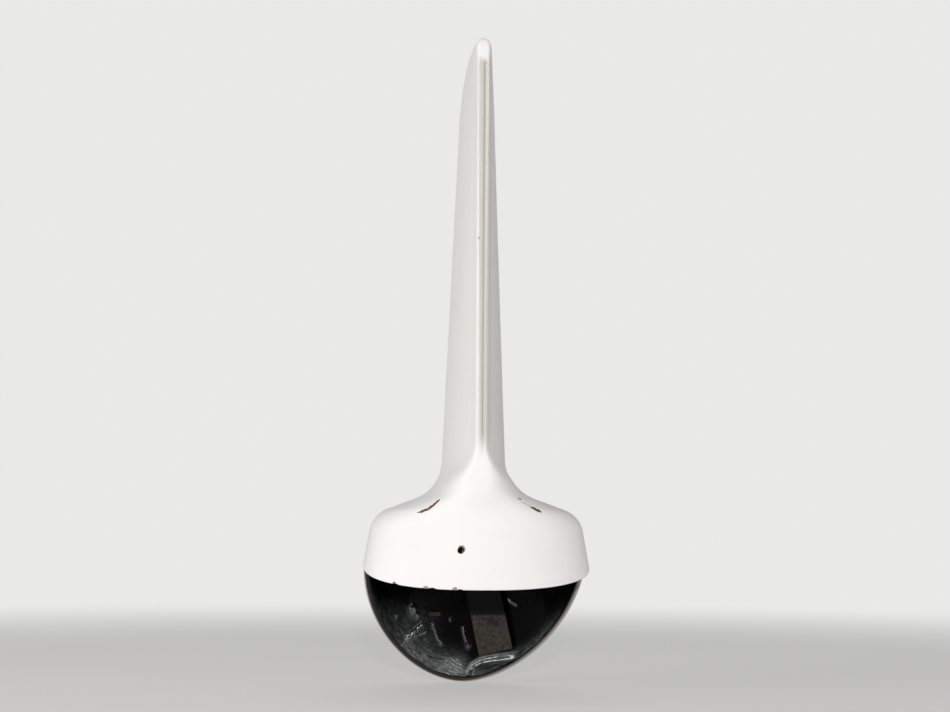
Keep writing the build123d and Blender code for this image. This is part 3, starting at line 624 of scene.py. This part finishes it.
class Wire:
    """A socket of a node tree with the arithmetic of a number. A vector goes through Vector Math instead."""

    def __init__(self, nodes, socket):
        self.nodes, self.socket = nodes, socket

    def _maths(self, operation, *values):
        return self.nodes.node("ShaderNodeMath", {"operation": operation}, dict(enumerate(values)))

    def __add__(self, other):
        return self._maths("ADD", self, other)

    def __sub__(self, other):
        return self._maths("SUBTRACT", self, other)

    def __rsub__(self, other):
        return self._maths("SUBTRACT", other, self)

    def __mul__(self, other):
        return self._maths("MULTIPLY", self, other)

    def __truediv__(self, other):
        return self._maths("DIVIDE", self, other)

    def __rtruediv__(self, other):
        return self._maths("DIVIDE", other, self)

    def __pow__(self, other):
        return self._maths("POWER", self, other)

    __radd__, __rmul__ = __add__, __mul__

    def size(self):
        return self._maths("ABSOLUTE", self)

    def most(self, other):
        return self._maths("MAXIMUM", self, other)

    def least(self, other):
        return self._maths("MINIMUM", self, other)

    def step(self, low, high):
        """0 at low and 1 at high, smoothly. low may be the larger, which turns it round."""
        if low > high:
            return 1.0 - self.step(high, low)
        return self.nodes.node(
            "ShaderNodeMapRange", {"interpolation_type": "SMOOTHSTEP"},
            {0: self, 1: low, 2: high, 3: 0.0, 4: 1.0})

    def scaled(self, vector):
        """A vector stretched by (x, y, z)."""
        return self.nodes.node("ShaderNodeVectorMath", {"operation": "MULTIPLY"}, {0: self, 1: vector})

    def apart(self, point):
        """Distance of a vector from a point."""
        return self.nodes.node(
            "ShaderNodeVectorMath", {"operation": "DISTANCE"}, {0: self, 1: point}, "Value")


class Nodes:
    """The nodes of a tree that is emptied first. node() adds any one of them."""

    def __init__(self, tree):
        self.tree = tree
        tree.nodes.clear()

    def node(self, kind, settings=None, sockets=None, out=0):
        """Adds a node, sets its settings and then its sockets, and gives back one of its outputs."""
        made = self.tree.nodes.new(kind)
        for name, value in (settings or {}).items():
            setattr(made, name, value)
        for name, value in (sockets or {}).items():
            if isinstance(value, Wire):
                self.tree.links.new(value.socket, made.inputs[name])
            elif made.inputs[name].type == "RGBA" and len(value) == 3:
                made.inputs[name].default_value = (*value, 1.0)
            else:
                made.inputs[name].default_value = value
        return Wire(self, made.outputs[out]) if len(made.outputs) else made

    def seen(self):
        """1 for what the camera, a reflection or glass looks at, and 0 for what only lights the part."""
        outputs = self.node("ShaderNodeLightPath").socket.node.outputs
        direct = Wire(self, outputs["Is Camera Ray"]) + Wire(self, outputs["Is Glossy Ray"])
        return self.node(
            "ShaderNodeMath", {"operation": "ADD", "use_clamp": True},
            {0: direct, 1: Wire(self, outputs["Is Transmission Ray"])})


class Finish(Nodes):
    """A material's nodes, with patterns made of them."""

    def __init__(self, name):
        self.material = bpy.data.materials.new(name)
        self.material.use_nodes = True
        super().__init__(self.material.node_tree)
        self.place = self.node("ShaderNodeTexCoord", out="Object").scaled((1 / MM,) * 3)

    def axes(self):
        """Position across, along and up, in millimetres."""
        parts = self.node("ShaderNodeSeparateXYZ", sockets={0: self.place}).socket.node.outputs
        return [Wire(self, part) for part in parts]

    def read(self, name):
        """The number that the mesh keeps for each vertex under this name."""
        return self.node("ShaderNodeAttribute", {"attribute_name": name}, out="Fac")

    def noise(self, scale, detail=3.0, rough=0.55, stretch=(1, 1, 1)):
        """Cloudy noise from 0 to 1. scale is in waves for each millimetre."""
        sockets = {"Vector": self.place.scaled(stretch), "Scale": scale, "Detail": detail, "Roughness": rough}
        return self.node("ShaderNodeTexNoise", {"noise_dimensions": "3D"}, sockets, "Fac")

    def cells(self, scale):
        """Distance to the nearest of many scattered points."""
        return self.node(
            "ShaderNodeTexVoronoi", {"feature": "F1"}, {"Vector": self.place, "Scale": scale}, "Distance")

    def mix(self, mask, first, second):
        """first where mask is 0 and second where it is 1, as colours."""
        return self.node("ShaderNodeMix", {"data_type": "RGBA"}, {0: mask, 6: first, 7: second}, 2)

    def surface(self, **sockets):
        """Principled surface from sockets named with underscores for spaces."""
        names = {name.replace("_", " "): value for name, value in sockets.items()}
        return self.node("ShaderNodeBsdfPrincipled", sockets=names)

    def raised(self, height, distance=0.2, strength=1.0, normal=None):
        """Normal of a surface whose height, from 0 to 1, is worth distance in millimetres."""
        sockets = {"Height": height, "Distance": distance * MM, "Strength": strength}
        if normal is not None:
            sockets["Normal"] = normal
        return self.node("ShaderNodeBump", sockets=sockets)

    def done(self, shader):
        self.node("ShaderNodeOutputMaterial", sockets={"Surface": shader})
        return self.material


def lost_paint(f, across, along, up, wobble):
    """Where the paint is gone, and how much pale primer shows there: bent cracks that taper, and round spots.

    A crack's middle line is its height plus slope times run plus bend times run squared. It narrows with the
    fourth power of the run.
    """
    near = along.step(-20.0, -30.0)
    lost = 0.0
    for centre, height, slope, bend, half_length, half_width, dark in CRACKS:
        run = across - centre
        off = (up - (run * slope + run * run * bend + height) + wobble * 1.9).size()
        taper = (1.0 - (run / half_length) ** 4.0) * (f.noise(0.8, 2.0) * 1.1 + 0.35)
        lost = (taper.most(-1.0) * half_width - off).step(-0.05, 0.12) * near * dark + lost
    pale = 0.0
    for place, radius, primer in SPECKS:
        spot = (f.place.apart(place) + wobble * radius * 0.8).step(radius, radius * 0.7)
        lost = spot + lost
        pale = spot * primer + pale
    return lost.least(1.0), pale.least(1.0)


def bond_line_and_shade(across, along, up, wobble):
    """How dark the near edge of the mast is: a soft trough, partly dirt and partly painted shade, a fine dark
    line in it, painted shade on its right and a little darkening all along.
    """
    edge = along.step(-38.0, -43.5) * up.step(61.0, 76.0) * up.step(259.0, 253.0)
    off = across - 0.35 + wobble * 0.35
    seam_and_shade = off.size().step(2.9, 0.0) * 0.45 + off.size().step(0.55, 0.1) * 0.35
    # Painted shade: the right side of the near edge is made darker, as that flank turns from the light
    seam_and_shade = seam_and_shade * up.step(256.5, 252.0) + off.step(-1.0, 2.2) * 0.16
    return edge * (seam_and_shade + 0.14)


def rim_colour(f, across, cut, colours):
    """The cut rim: a skin and then resin. The skin is brown about X -12 and pale away from there.

    On the right the skin is thicker, and a second line of it shows in the resin.
    """
    right = across.step(-10.0, 30.0)
    skin = f.mix((across + 12.0).size().step(26.0, 6.0), tuple(colours.cut_edge), (0.30, 0.21, 0.13))
    past = cut - right * 0.2
    second = (past - 0.52).size().step(0.1, 0.05) * right * 0.55
    return f.mix(past.step(0.3, 0.36) * (1.0 - second), skin, tuple(colours.resin))


def paint_finish(colours):
    """White paint: faint orange peel, a little grime, a darkened near edge of the mast that is partly painted
    shade, and laminate where it is cracked or chipped away.
    """
    f = Finish("white_paint")
    across, along, up = f.axes()
    wobble = f.noise(0.9, 4.0, 0.6) - 0.5
    lost, pale = lost_paint(f, across, along, up, wobble)
    grime = f.noise(0.035, 5.0, 0.6).step(0.45, 0.75) + f.noise(0.4, 4.0, 0.7).step(0.62, 0.8) * 0.4
    colour = f.mix(grime * 0.16, tuple(colours.paint), (0.66, 0.62, 0.56))
    # Near edge of the mast darkened: dirt and a dark line down the groove, with painted shade in the groove
    # and on its right
    colour = f.mix(bond_line_and_shade(across, along, up, wobble), colour, (0.30, 0.265, 0.22))
    bare = f.mix(f.noise(1.3, 3.0).step(0.4, 0.65), (0.035, 0.018, 0.010), tuple(colours.laminate))
    colour = f.mix(lost, colour, f.mix(pale, bare, (0.42, 0.28, 0.22)))
    cut = f.read("cut_edge")
    colour = f.mix(cut.step(0.02, 0.05), colour, rim_colour(f, across, cut, colours))
    rough = 0.5 + f.noise(0.2, 3.0) * 0.12 + lost * 0.2
    relief = f.raised(f.noise(0.9, 2.0), 0.03, 0.5)
    shader = f.surface(Base_Color=colour, Roughness=rough, Normal=f.raised(1.0 - lost, 0.3, 1.0, relief))
    return f.done(shader)


def laminate_finish(colours):
    """Cut glass laminate: orange-brown layers."""
    f = Finish("cut_laminate")
    layers = f.noise(1.2, 3.0, stretch=(0.3, 3.0, 0.3)).step(0.35, 0.65)
    colour = f.mix(layers, tuple(colours.laminate), (0.42, 0.20, 0.07))
    return f.done(f.surface(Base_Color=colour, Roughness=0.6, Normal=f.raised(layers, 0.1)))


def resin_finish(colours):
    """Black resin with fine brush marks. The coat's mesh holds how wet it is and how much painted sheen it
    shows.
    """
    f = Finish("black_resin")
    dust = f.noise(0.08, 5.0, 0.65).step(0.55, 0.8)
    fibre = f.noise(0.9, 4.0, 0.7, stretch=(1.0, 1.0, 0.35))
    bloom = f.read("bloom") * (f.noise(0.45, 4.0, 0.65).step(0.25, 0.75) * 0.9 + fibre * 0.9 + 0.05)
    # Painted sheen and reflection: the coat is paled where it would mirror the pale surroundings and the lamp
    colour = f.mix(bloom.least(1.0), tuple(colours.resin), (0.200, 0.210, 0.212))
    from_middle = (f.axes()[0] - RIM_STREAK[0]).size()
    streak = f.place.apart(RIM_STREAK).step(2.2, 1.2) * from_middle.step(0.4, 0.2)
    colour = f.mix(streak, colour, (0.16, 0.12, 0.07))
    brush = f.noise(0.55, 3.0, stretch=(1.0, 1.0, 0.3))
    rough = 0.14 + dust * 0.1 + fibre * 0.04
    scratches = f.noise(1.9, 2.0, 0.5, stretch=(1.0, 1.0, 0.45)) * bloom.step(0.0, 0.3)
    relief = f.raised(fibre, 0.015, 0.6, f.raised(brush, 0.08, 0.6, f.raised(scratches, 0.1, 0.9)))
    shader = f.surface(
        Base_Color=colour, Roughness=rough, Specular_IOR_Level=0.05, Normal=relief, Coat_Weight=f.read("wet"),
        Coat_Roughness=0.15, Coat_IOR=2.1)
    return f.done(shader)


def metal_finish(name, colour, dull, rough, grain=(1, 1, 1)):
    """Bare metal: patches of dull oxide over the plating, and fine scratches along the grain."""
    f = Finish(name)
    patches = f.noise(0.35, 5.0, 0.6).step(0.4, 0.7)
    scratches = f.noise(3.0, 2.0, stretch=grain)
    tint = f.mix(patches * 0.7, tuple(colour), dull)
    shader = f.surface(
        Base_Color=tint, Metallic=1.0 - patches * 0.35, Roughness=rough + patches * 0.2,
        Normal=f.raised(scratches, 0.03, 0.4))
    return f.done(shader)


def strap_finish(colours):
    """Tinned strap gone dull and brown, with thin smears of black resin over it, and a painted shadow of the
    near rim that blackens its upper part.
    """
    f = Finish("tinned_strap")
    up = f.axes()[2]
    smear_and_shadow = f.noise(0.16, 5.0, 0.6, stretch=(1.0, 1.0, 0.5)).step(0.56, 0.68) * 0.6
    mark = f.place.apart(STRAP_MARK).step(1.1, 0.6) * 0.8
    # Painted shadow: above a level line at about -16 mm the strap turns resin black, where the near rim's
    # shadow falls
    smear_and_shadow = smear_and_shadow.most(up.step(-16.6, -15.2) * 0.97).most(mark)
    spots = f.cells(0.35).step(0.28, 0.12) * f.noise(0.25).step(0.5, 0.6)
    blotch = f.noise(0.5, 4.0).step(0.3, 0.7)
    bare = f.mix(blotch, tuple(colours.strap), (0.030, 0.026, 0.020))
    bare = f.mix(spots, bare, (0.018, 0.014, 0.010))
    colour = f.mix(smear_and_shadow, bare, tuple(colours.resin))
    rolled = f.noise(2.2, 2.0, stretch=(1.0, 1.0, 0.08))
    shader = f.surface(
        Base_Color=colour, Metallic=0.15 - smear_and_shadow * 0.15, Roughness=0.5 - smear_and_shadow * 0.1, Specular_IOR_Level=0.1,
        Normal=f.raised(smear_and_shadow + blotch * 0.2 + rolled * 0.1, 0.3, 0.7))
    return f.done(shader)


def board_finish(colours):
    """Glass-epoxy board whose weave shows through."""
    f = Finish("feed_board")
    warp, weft = (
        f.node("ShaderNodeTexWave", {"bands_direction": way}, {"Vector": f.place, "Scale": 0.5}, "Fac")
        for way in ("X", "Y"))
    weave = warp * weft
    colour = f.mix(weave, tuple(colours.board), (0.25, 0.19, 0.08))
    return f.done(f.surface(Base_Color=colour, Roughness=0.38, Normal=f.raised(weave, 0.04)))


def smooth_finish(name, colour, dull, rough):
    """Plastic or dipped ceramic: a slight mottle and a soft sheen."""
    f = Finish(name)
    mottle = f.noise(0.4, 4.0).step(0.35, 0.7)
    shader = f.surface(
        Base_Color=f.mix(mottle, tuple(colour), dull), Roughness=rough + mottle * 0.1,
        Normal=f.raised(f.noise(1.5), 0.02, 0.5))
    return f.done(shader)


def floor_finish(colour):
    """Pale matt floor that keeps its shadows and turns into the pale surrounding far from the part.

    A camera under the floor sees through it.
    """
    f = Finish("pale_floor")
    shader = f.surface(Base_Color=tuple(colour), Roughness=0.9)
    glow = f.node("ShaderNodeEmission", sockets={"Color": SURROUNDING, "Strength": SURROUNDING_STRENGTH})
    far = f.place.apart((0.0, 0.0, 0.0)).step(*FLOOR_BLEND)
    share = f.seen() * (far * (1.0 - FLOOR_LIFT) + FLOOR_LIFT)
    lifted = f.node("ShaderNodeMixShader", sockets={0: share, 1: shader, 2: glow})
    under = f.node("ShaderNodeNewGeometry", out="Backfacing")
    clear = f.node("ShaderNodeBsdfTransparent")
    return f.done(f.node("ShaderNodeMixShader", sockets={0: under, 1: lifted, 2: clear}))


# Pieces

def settings_of(context):
    """The settings of the fairing, of the finishes and of the stage."""
    scene = context.scene
    return scene.antenna_fairing, scene.antenna_finish, scene.antenna_stage


class ANTENNA_OT_fairing(bpy.types.Operator):
    """Builds the painted moulding: outside, cut rim and inner wall in one closed skin"""

    bl_idname = "antenna.fairing"
    bl_label = "Fairing"

    def execute(self, context):
        fairing, colours, _ = settings_of(context)
        form = Moulding(fairing)
        around = closed_columns((30, 30, 25, 64))
        chips = self.chips(form, around)
        outside, inside = self.outside(form, around, chips), self.inside(form, around)
        rim = self.cut_rim(form, outside[0], inside[0], chips)
        rings = np.concatenate([outside[::-1], rim, inside])
        tip = (0.0, outside[-1, :, 1].mean(), form.mast_top_z - POLE_DROP)
        inner_tip = inside[-1].mean(axis=0)
        mesh = rings_mesh("fairing", rings, tip, inner_tip)
        across_wall = np.concatenate([np.zeros(len(outside)), RIM_STEPS, np.ones(len(inside))])
        add_attribute(mesh, "cut_edge", np.concatenate([np.repeat(across_wall, len(around)), [0.0, 1.0]]))
        rows = np.repeat(np.arange(len(rings) - 1), len(around))
        inner_faces = rows >= len(outside) + len(rim) - 1
        kinds = np.concatenate([np.where(inner_faces, 1, 0), np.zeros(len(around)), np.ones(len(around))])
        piece = add_piece(mesh, "white_gelcoat", paint_finish(colours), resin_finish(colours),
                          laminate_finish(colours))
        mesh.polygons.foreach_set("material_index", kinds.astype(np.int32))
        drill(piece, form, piece.data.materials[2])
        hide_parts("fairing_shell")
        return {"FINISHED"}

    def outside(self, form, around, chips):
        """Rows of the outer skin from the rim to the tip, with its round and its groove."""
        skirt = form.skirt(around, np.linspace(0.0, 1.0, 31), lift=form.lip + chips)
        tip = form.ring(form.tip_sizes(np.radians(TIP_ANGLES)[:, None]), around[None, :])
        points = np.concatenate([skirt, *form.upper(around, (14, 22, 22, 80)), tip])
        self.round_tip(form, points)
        self.cut_groove(form, points)
        return points

    @staticmethod
    def inside(form, around):
        """Rows of the inner wall from the rim to the end of the mast's hollow."""
        skirt = form.skirt(around, np.linspace(0.0, 1.0, 13), form.wall)
        slope = form.outline(ONE_STEP_EACH)[-1][1][-1]
        sizes = form.inset(form.tip_sizes(np.radians(HOLLOW_ANGLES)[:, None]), slope)
        tip = form.ring(sizes, around[None, :])
        return np.concatenate([skirt, *form.upper(around, (6, 8, 8, 10), form.wall), tip])

    @staticmethod
    def chips(form, around):
        """How far the paint's edge is broken back, in millimetres, along the near rim."""
        x = form.pod_half_width * np.sin(around)
        near = np.cos(around) > 0
        return near * sum(depth * bump(x, centre, spread) for centre, spread, depth in RIM_CHIPS)

    @staticmethod
    def round_tip(form, points):
        """Rounds the top to half an ellipse, seen from the front, and leans its near side back as it closes.

        The width is multiplied by the root of 1 minus climb squared. climb goes from 0 to 1 over the dome.
        """
        climb = np.clip((points[..., 2] - form.mast_top_z) / form.dome_radius + 1, 0, 1)
        share = np.sqrt(1 - climb**2)
        near, far = points[:, :1, 1].copy(), points[..., 1].max(axis=1)[:, None]
        lean = np.minimum(form.dome_lean * (1 - share), (far - near) / 2)
        points[..., 0] *= share
        points[..., 1] += lean * (far - points[..., 1]) / np.maximum(far - near, form.lip)

    @staticmethod
    def cut_groove(form, points):
        """Sinks the bond line's groove: a circle along the near edge, shallower and narrower downwards."""
        x, y, z = points[..., 0], points[..., 1], points[..., 2]
        edge = points[:, :1, 1]
        share = np.clip((z - form.groove_foot_z) / (form.mast_broad_top_z - form.groove_foot_z), 0, 1)
        radius = form.groove_foot_radius + (form.groove_radius - form.groove_foot_radius) * share
        depth = form.groove_foot_depth + (form.groove_depth - form.groove_foot_depth) * share
        low, full = form.groove_foot_z - GROOVE_FADE_UNDER, form.groove_foot_z + GROOVE_FADE_OVER
        depth = depth * band(z, low, full, form.groove_top_z, form.groove_top_z + form.groove_run_out)
        round_floor = np.sqrt(np.clip(radius**2 - x**2, 0, None)) - radius
        sunk = np.clip(edge + depth + round_floor - y, 0, None)
        inside = (np.abs(x) < radius) & (y < edge + GROOVE_REACH) & (z > low)
        points[..., 1] = y + np.where(inside, sunk, 0.0)

    @staticmethod
    def cut_rim(form, outer, inner, chips):
        """The cut edge of the wall, from the outer skin to the inner one, with a small round at each side."""
        share = RIM_STEPS[:, None]
        lip = form.lip / form.wall
        edge = np.clip(1 - np.minimum(share, 1 - share) / lip, 0, 1)
        lift = form.lip * (1 - np.sqrt(1 - edge**2)) + chips[None, :] * (1 - smooth_step(share, 0.1, 0.7))
        start = outer[None] - np.array([0.0, 0.0, 1.0]) * (form.lip + chips)[None, :, None]
        rim = start + (inner[None] - start) * share[..., None]
        rim[..., 2] += lift
        return rim


class ANTENNA_OT_resin(bpy.types.Operator):
    """Brushes black resin over the inner wall: a thin coat with lumps, runs, wrinkles and a torn flap"""

    bl_idname = "antenna.resin"
    bl_label = "Resin coat"

    def execute(self, context):
        fairing, colours, _ = settings_of(context)
        form = Moulding(fairing)
        around = closed_columns((6, 6, 8, 40, 150), (0.0, 30.0, 60.0, 90.0, 140.0, 180.0))
        front, deep = (self.wall_rows(form, around, 160, (6, 9, 6, 1), inward) for inward in (0.0, 1.0))
        thick, wet = self.thickness(around, front)
        coat = front + (deep - front) * thick[..., None]
        back = self.wall_rows(form, around, 16, (3, 4, 3, 1), -RESIN_SUNK)
        rings = np.concatenate([coat[::-1], back])
        mesh = rings_mesh("resin_coat", rings, join=True)
        # Painted sheen, kept on the mesh for the resin's colour
        bloom = self.bloom(around, front)
        for name, values in (("bloom", bloom), ("wet", wet)):
            add_attribute(mesh, name, np.concatenate([values[::-1], np.zeros(back.shape[:2])]).ravel())
        piece = add_piece(mesh, "black_resin", resin_finish(colours))
        drill(piece, form, piece.data.materials[0])
        return {"FINISHED"}

    @staticmethod
    def wall_rows(form, around, skirt_rows, counts, inward):
        """Rows up the inner wall, inward millimetres clear of it, from over the rim to the mast's foot."""
        depth = form.wall + inward
        share = np.linspace(0.0, 1.0, skirt_rows + 1)**RESIN_ROW_POWER
        skirt = form.skirt(around, share, depth, lift=RESIN_LIFT)
        upper = form.upper(around, counts, depth)
        return np.concatenate([skirt, *upper[:3]])

    @staticmethod
    def below_fold(turn, z):
        """How far a place lies under the torn flap's line, and how much of the flap is at its angle."""
        return np.interp(turn, *np.transpose(FOLD)) - z, band(turn, 151.0, 159.0, 177.5, 180.5)

    @classmethod
    def bloom(cls, around, points):
        """How much painted sheen the coat shows, from 0 to 1: paleness in place of the surroundings and the
        lamp mirrored in it.

        It is paler on the left wall, at the foot of the nose, on the flap and along the rim.
        """
        z = points[..., 2]
        turn = np.degrees(around)[None, :] * np.ones_like(z)
        rise = z - z[:1]
        left = 0.08 * smooth_step(turn, 190.0, 202.0) * smooth_step(-z, 4.0, 16.0)
        foot = 0.36 * band(turn, 176.0, 183.0, 205.0, 228.0) * bump(rise, 2.0, 8.5)
        below, fade = cls.below_fold(turn, z)
        streaks = 0.75 + 0.25 * np.cos(4.5 * below + 2.0 * lattice_noise(turn / 4.0, z / 4.0, 9))
        flap = 0.9 * fade * streaks * band(below, 0.0, 0.8, 3.5, 6.0)
        rim = 0.3 * streaks * band(turn, 115.0, 145.0, 180.0, 186.0) * bump(rise, 0.5, 3.5)
        edge = 0.1 * smooth_step(turn, 186.0, 200.0) * bump(rise, 0.5, 2.5)
        grain = 1.0 + 0.85 * lattice_noise(turn / 3.0, rise / 0.6, 10)
        return np.clip((left + foot + rim + edge) * grain + flap, 0.0, 1.0)

    @classmethod
    def thickness(cls, around, points):
        """Thickness of the coat in millimetres and how wet it looks, from 0 to 1.

        It is an even film with soft ripples. Lumps, runs, wrinkles and a torn flap stand proud of it.
        """
        z = points[..., 2]
        turn = np.degrees(around)[None, :] * np.ones_like(z)
        u = turn * ROUND_NOSE
        film = 0.32 + 0.08 * lattice_noise(u / 5.0, z / 9.0, 5) + 0.05 * lattice_noise(u / 2.0, z / 3.5, 6)
        rough = 1.0 + 0.45 * lattice_noise(u / 1.1, z / 1.1, 7)
        wet = 0.0
        for angle, height, wide, tall, proud in LUMPS:
            share = bump(u, angle * ROUND_NOSE, wide) * bump(z, height, tall)
            film, wet = film + proud * rough * share, wet + share
        for corners, half_width, proud in RUNS:
            share = bump(from_line(u, z, corners), 0.0, half_width)
            film, wet = film + proud * rough * share, wet + share
        angle, height, wide, tall = WRINKLES
        crumpled = bump(u, angle * ROUND_NOSE, wide) * bump(z, height, tall)
        waves = np.sin((0.5 * u - 0.9 * z) * 3.2 + 2.2 * lattice_noise(u / 2.5, z / 2.5, 8))
        film += 0.34 * crumpled * waves
        below, fade = cls.below_fold(turn, z)
        flap = band(below, 1.8, 6.0, 6.0, 8.5)
        wet = wet + crumpled + 0.6 * fade * band(below, 2.0, 3.2, 5.0, 7.0)
        return np.maximum(film + 1.25 * fade * flap, 0.1), np.clip(1.6 * wet, 0.0, 1.0)


class ANTENNA_OT_feed(bpy.types.Operator):
    """Gives the board, the jack, the strap and the other parts of the feed their finishes"""

    bl_idname = "antenna.feed"
    bl_label = "Feed parts"

    def execute(self, context):
        _, colours, _ = settings_of(context)
        copper = metal_finish("dull_copper", colours.copper, (0.20, 0.09, 0.05), 0.32)
        brass = metal_finish("dull_brass", colours.brass, (0.24, 0.17, 0.07), 0.34)
        steel = metal_finish("plated_steel", colours.steel, (0.30, 0.27, 0.22), 0.30)
        nickel = metal_finish("plated_nickel", colours.nickel, (0.36, 0.33, 0.27), 0.24, (1, 1, 6))
        finishes = {
            "radiator_strip": copper, "matching_coil": copper, "connector_contact": brass,
            "bonding_tab": metal_finish("tarnished_tab", (0.026, 0.022, 0.012), (0.006, 0.005, 0.004), 0.6),
            "board_washers": steel, "board_screws": steel, "connector_screws": steel, "connector_nuts": steel,
            "connector_body": nickel,
            "ground_strap": strap_finish(colours), "feed_board": board_finish(colours),
            "root_seal": resin_finish(colours), "strap_bond": resin_finish(colours),
            "connector_insulator": smooth_finish("insulator", colours.insulator, (0.66, 0.63, 0.56), 0.42),
            "tuning_capacitor": smooth_finish("dipped_disc", colours.disc, (0.26, 0.10, 0.03), 0.30),
        }
        for node, material in finishes.items():
            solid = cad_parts[node]
            solid.data.materials.clear()
            solid.data.materials.append(material)
        return {"FINISHED"}


class ANTENNA_OT_stage(bpy.types.Operator):
    """Sets the pale floor, the lamps, the surrounding light and the camera"""

    bl_idname = "antenna.stage"
    bl_label = "Stage"

    def execute(self, context):
        _, _, stage = settings_of(context)
        self.camera(context.scene, stage)
        self.floor(stage)
        self.lamps(context.scene, stage)
        self.surroundings(context.scene, stage)
        context.scene.view_settings.view_transform = "Standard"
        return {"FINISHED"}

    @staticmethod
    def facing(aim_z, distance, azimuth, elevation, roll=0.0):
        """Place and turn of a camera or lamp at this distance that looks at a point over the origin."""
        forward = Vector((-math.sin(azimuth) * math.cos(elevation), math.cos(azimuth) * math.cos(elevation),
                          -math.sin(elevation)))
        level = Vector((math.cos(azimuth), math.sin(azimuth), 0.0))
        upright = level.cross(forward)
        right = level * math.cos(roll) + upright * math.sin(roll)
        up = upright * math.cos(roll) - level * math.sin(roll)
        place = Vector((0.0, 0.0, aim_z)) - forward * distance
        return Matrix.Translation(place) @ Matrix((right, up, -forward)).transposed().to_4x4()

    def camera(self, scene, stage):
        data = bpy.data.cameras.new("camera")
        data.lens = stage.focal
        data.shift_x, data.shift_y = stage.shift_x, stage.shift_y
        data.clip_start, data.clip_end = 0.01, 50.0
        camera = bpy.data.objects.new("camera", data)
        scene.collection.objects.link(camera)
        camera.matrix_world = self.facing(
            stage.target_z, stage.distance, stage.azimuth, stage.elevation, stage.roll)
        scene.camera = camera

    @staticmethod
    def floor(stage):
        """Floor: a level grid just under the lowest point of the part, wide enough to reach the horizon."""
        level = cad_box[0][2] / MM - FLOOR_DROP
        line = np.linspace(-FLOOR_REACH, FLOOR_REACH, FLOOR_LINES)
        points = np.stack(np.broadcast_arrays(line[:, None], line[None, :], level), axis=-1)
        index = np.arange(points.shape[0] * points.shape[1]).reshape(points.shape[:2])
        corners = (index[:-1, :-1], index[1:, :-1], index[1:, 1:], index[:-1, 1:])
        quads = np.stack(corners, axis=-1).reshape(-1, 4)
        mesh = bpy.data.meshes.new("floor")
        mesh.from_pydata((points.reshape(-1, 3) * MM).tolist(), [], quads.tolist())
        mesh.polygons.foreach_set("use_smooth", np.ones(len(quads), bool))
        mesh.materials.append(floor_finish(stage.floor))
        sheet = bpy.data.objects.new("floor", mesh)
        bpy.context.scene.collection.objects.link(sheet)

    def lamps(self, scene, stage):
        """A small key just above the camera, a broad fill from the left and a low lamp from the right."""
        # Name, azimuth and elevation in degrees, distance and size in metres, and power in watts
        rows = (
            ("key", -3.0, 4.8, 1.15, 0.02, stage.key_power),
            ("fill", -62.0, 5.0, 1.3, 0.9, stage.fill_power),
            ("side", 52.0, 2.0, 1.3, 0.5, stage.side_power),
        )
        for name, azimuth, elevation, distance, size, power in rows:
            data = bpy.data.lights.new(name, "AREA")
            data.shape = "DISK"
            data.size = size
            data.energy = power
            lamp = bpy.data.objects.new(name, data)
            scene.collection.objects.link(lamp)
            lamp.matrix_world = self.facing(
                LAMP_AIM_Z, distance, math.radians(azimuth), math.radians(elevation))

    @staticmethod
    def surroundings(scene, stage):
        """A pale surrounding for the camera, reflections and glass, and a dimmer one that lights the part."""
        world = bpy.data.worlds.new("surroundings")
        world.use_nodes = True
        nodes = Nodes(world.node_tree)
        strength = nodes.node(
            "ShaderNodeMapRange", sockets={0: nodes.seen(), 3: stage.ambient, 4: SURROUNDING_STRENGTH})
        light = nodes.node("ShaderNodeBackground", sockets={"Color": SURROUNDING, "Strength": strength})
        nodes.node("ShaderNodeOutputWorld", sockets={"Surface": light})
        scene.world = world


class ANTENNA_PT_parts(bpy.types.Panel):
    """Lists the antenna's operators and their settings."""

    bl_label = "Antenna"
    bl_idname = "ANTENNA_PT_parts"
    bl_space_type = "VIEW_3D"
    bl_region_type = "UI"
    bl_category = "Antenna"

    def draw(self, context):
        for operator in OPERATORS:
            self.layout.operator(operator.bl_idname, text=operator.bl_label)
        for settings in settings_of(context):
            box = self.layout.box()
            for name in setting_names(settings):
                box.prop(settings, name)


GROUPS = {
    "antenna_fairing": FairingSettings,
    "antenna_finish": FinishSettings,
    "antenna_stage": StageSettings,
}
OPERATORS = (ANTENNA_OT_fairing, ANTENNA_OT_resin, ANTENNA_OT_feed, ANTENNA_OT_stage)
CLASSES = (*GROUPS.values(), *OPERATORS, ANTENNA_PT_parts)


def register():
    for item in CLASSES:
        bpy.utils.register_class(item)
    for name, group in GROUPS.items():
        setattr(bpy.types.Scene, name, bpy.props.PointerProperty(type=group))


def unregister():
    for name in GROUPS:
        delattr(bpy.types.Scene, name)
    for item in reversed(CLASSES):
        bpy.utils.unregister_class(item)


def main():
    register()
    bpy.ops.antenna.fairing()
    bpy.ops.antenna.resin()
    bpy.ops.antenna.feed()
    bpy.ops.antenna.stage()


if __name__ == "__main__":
    main()
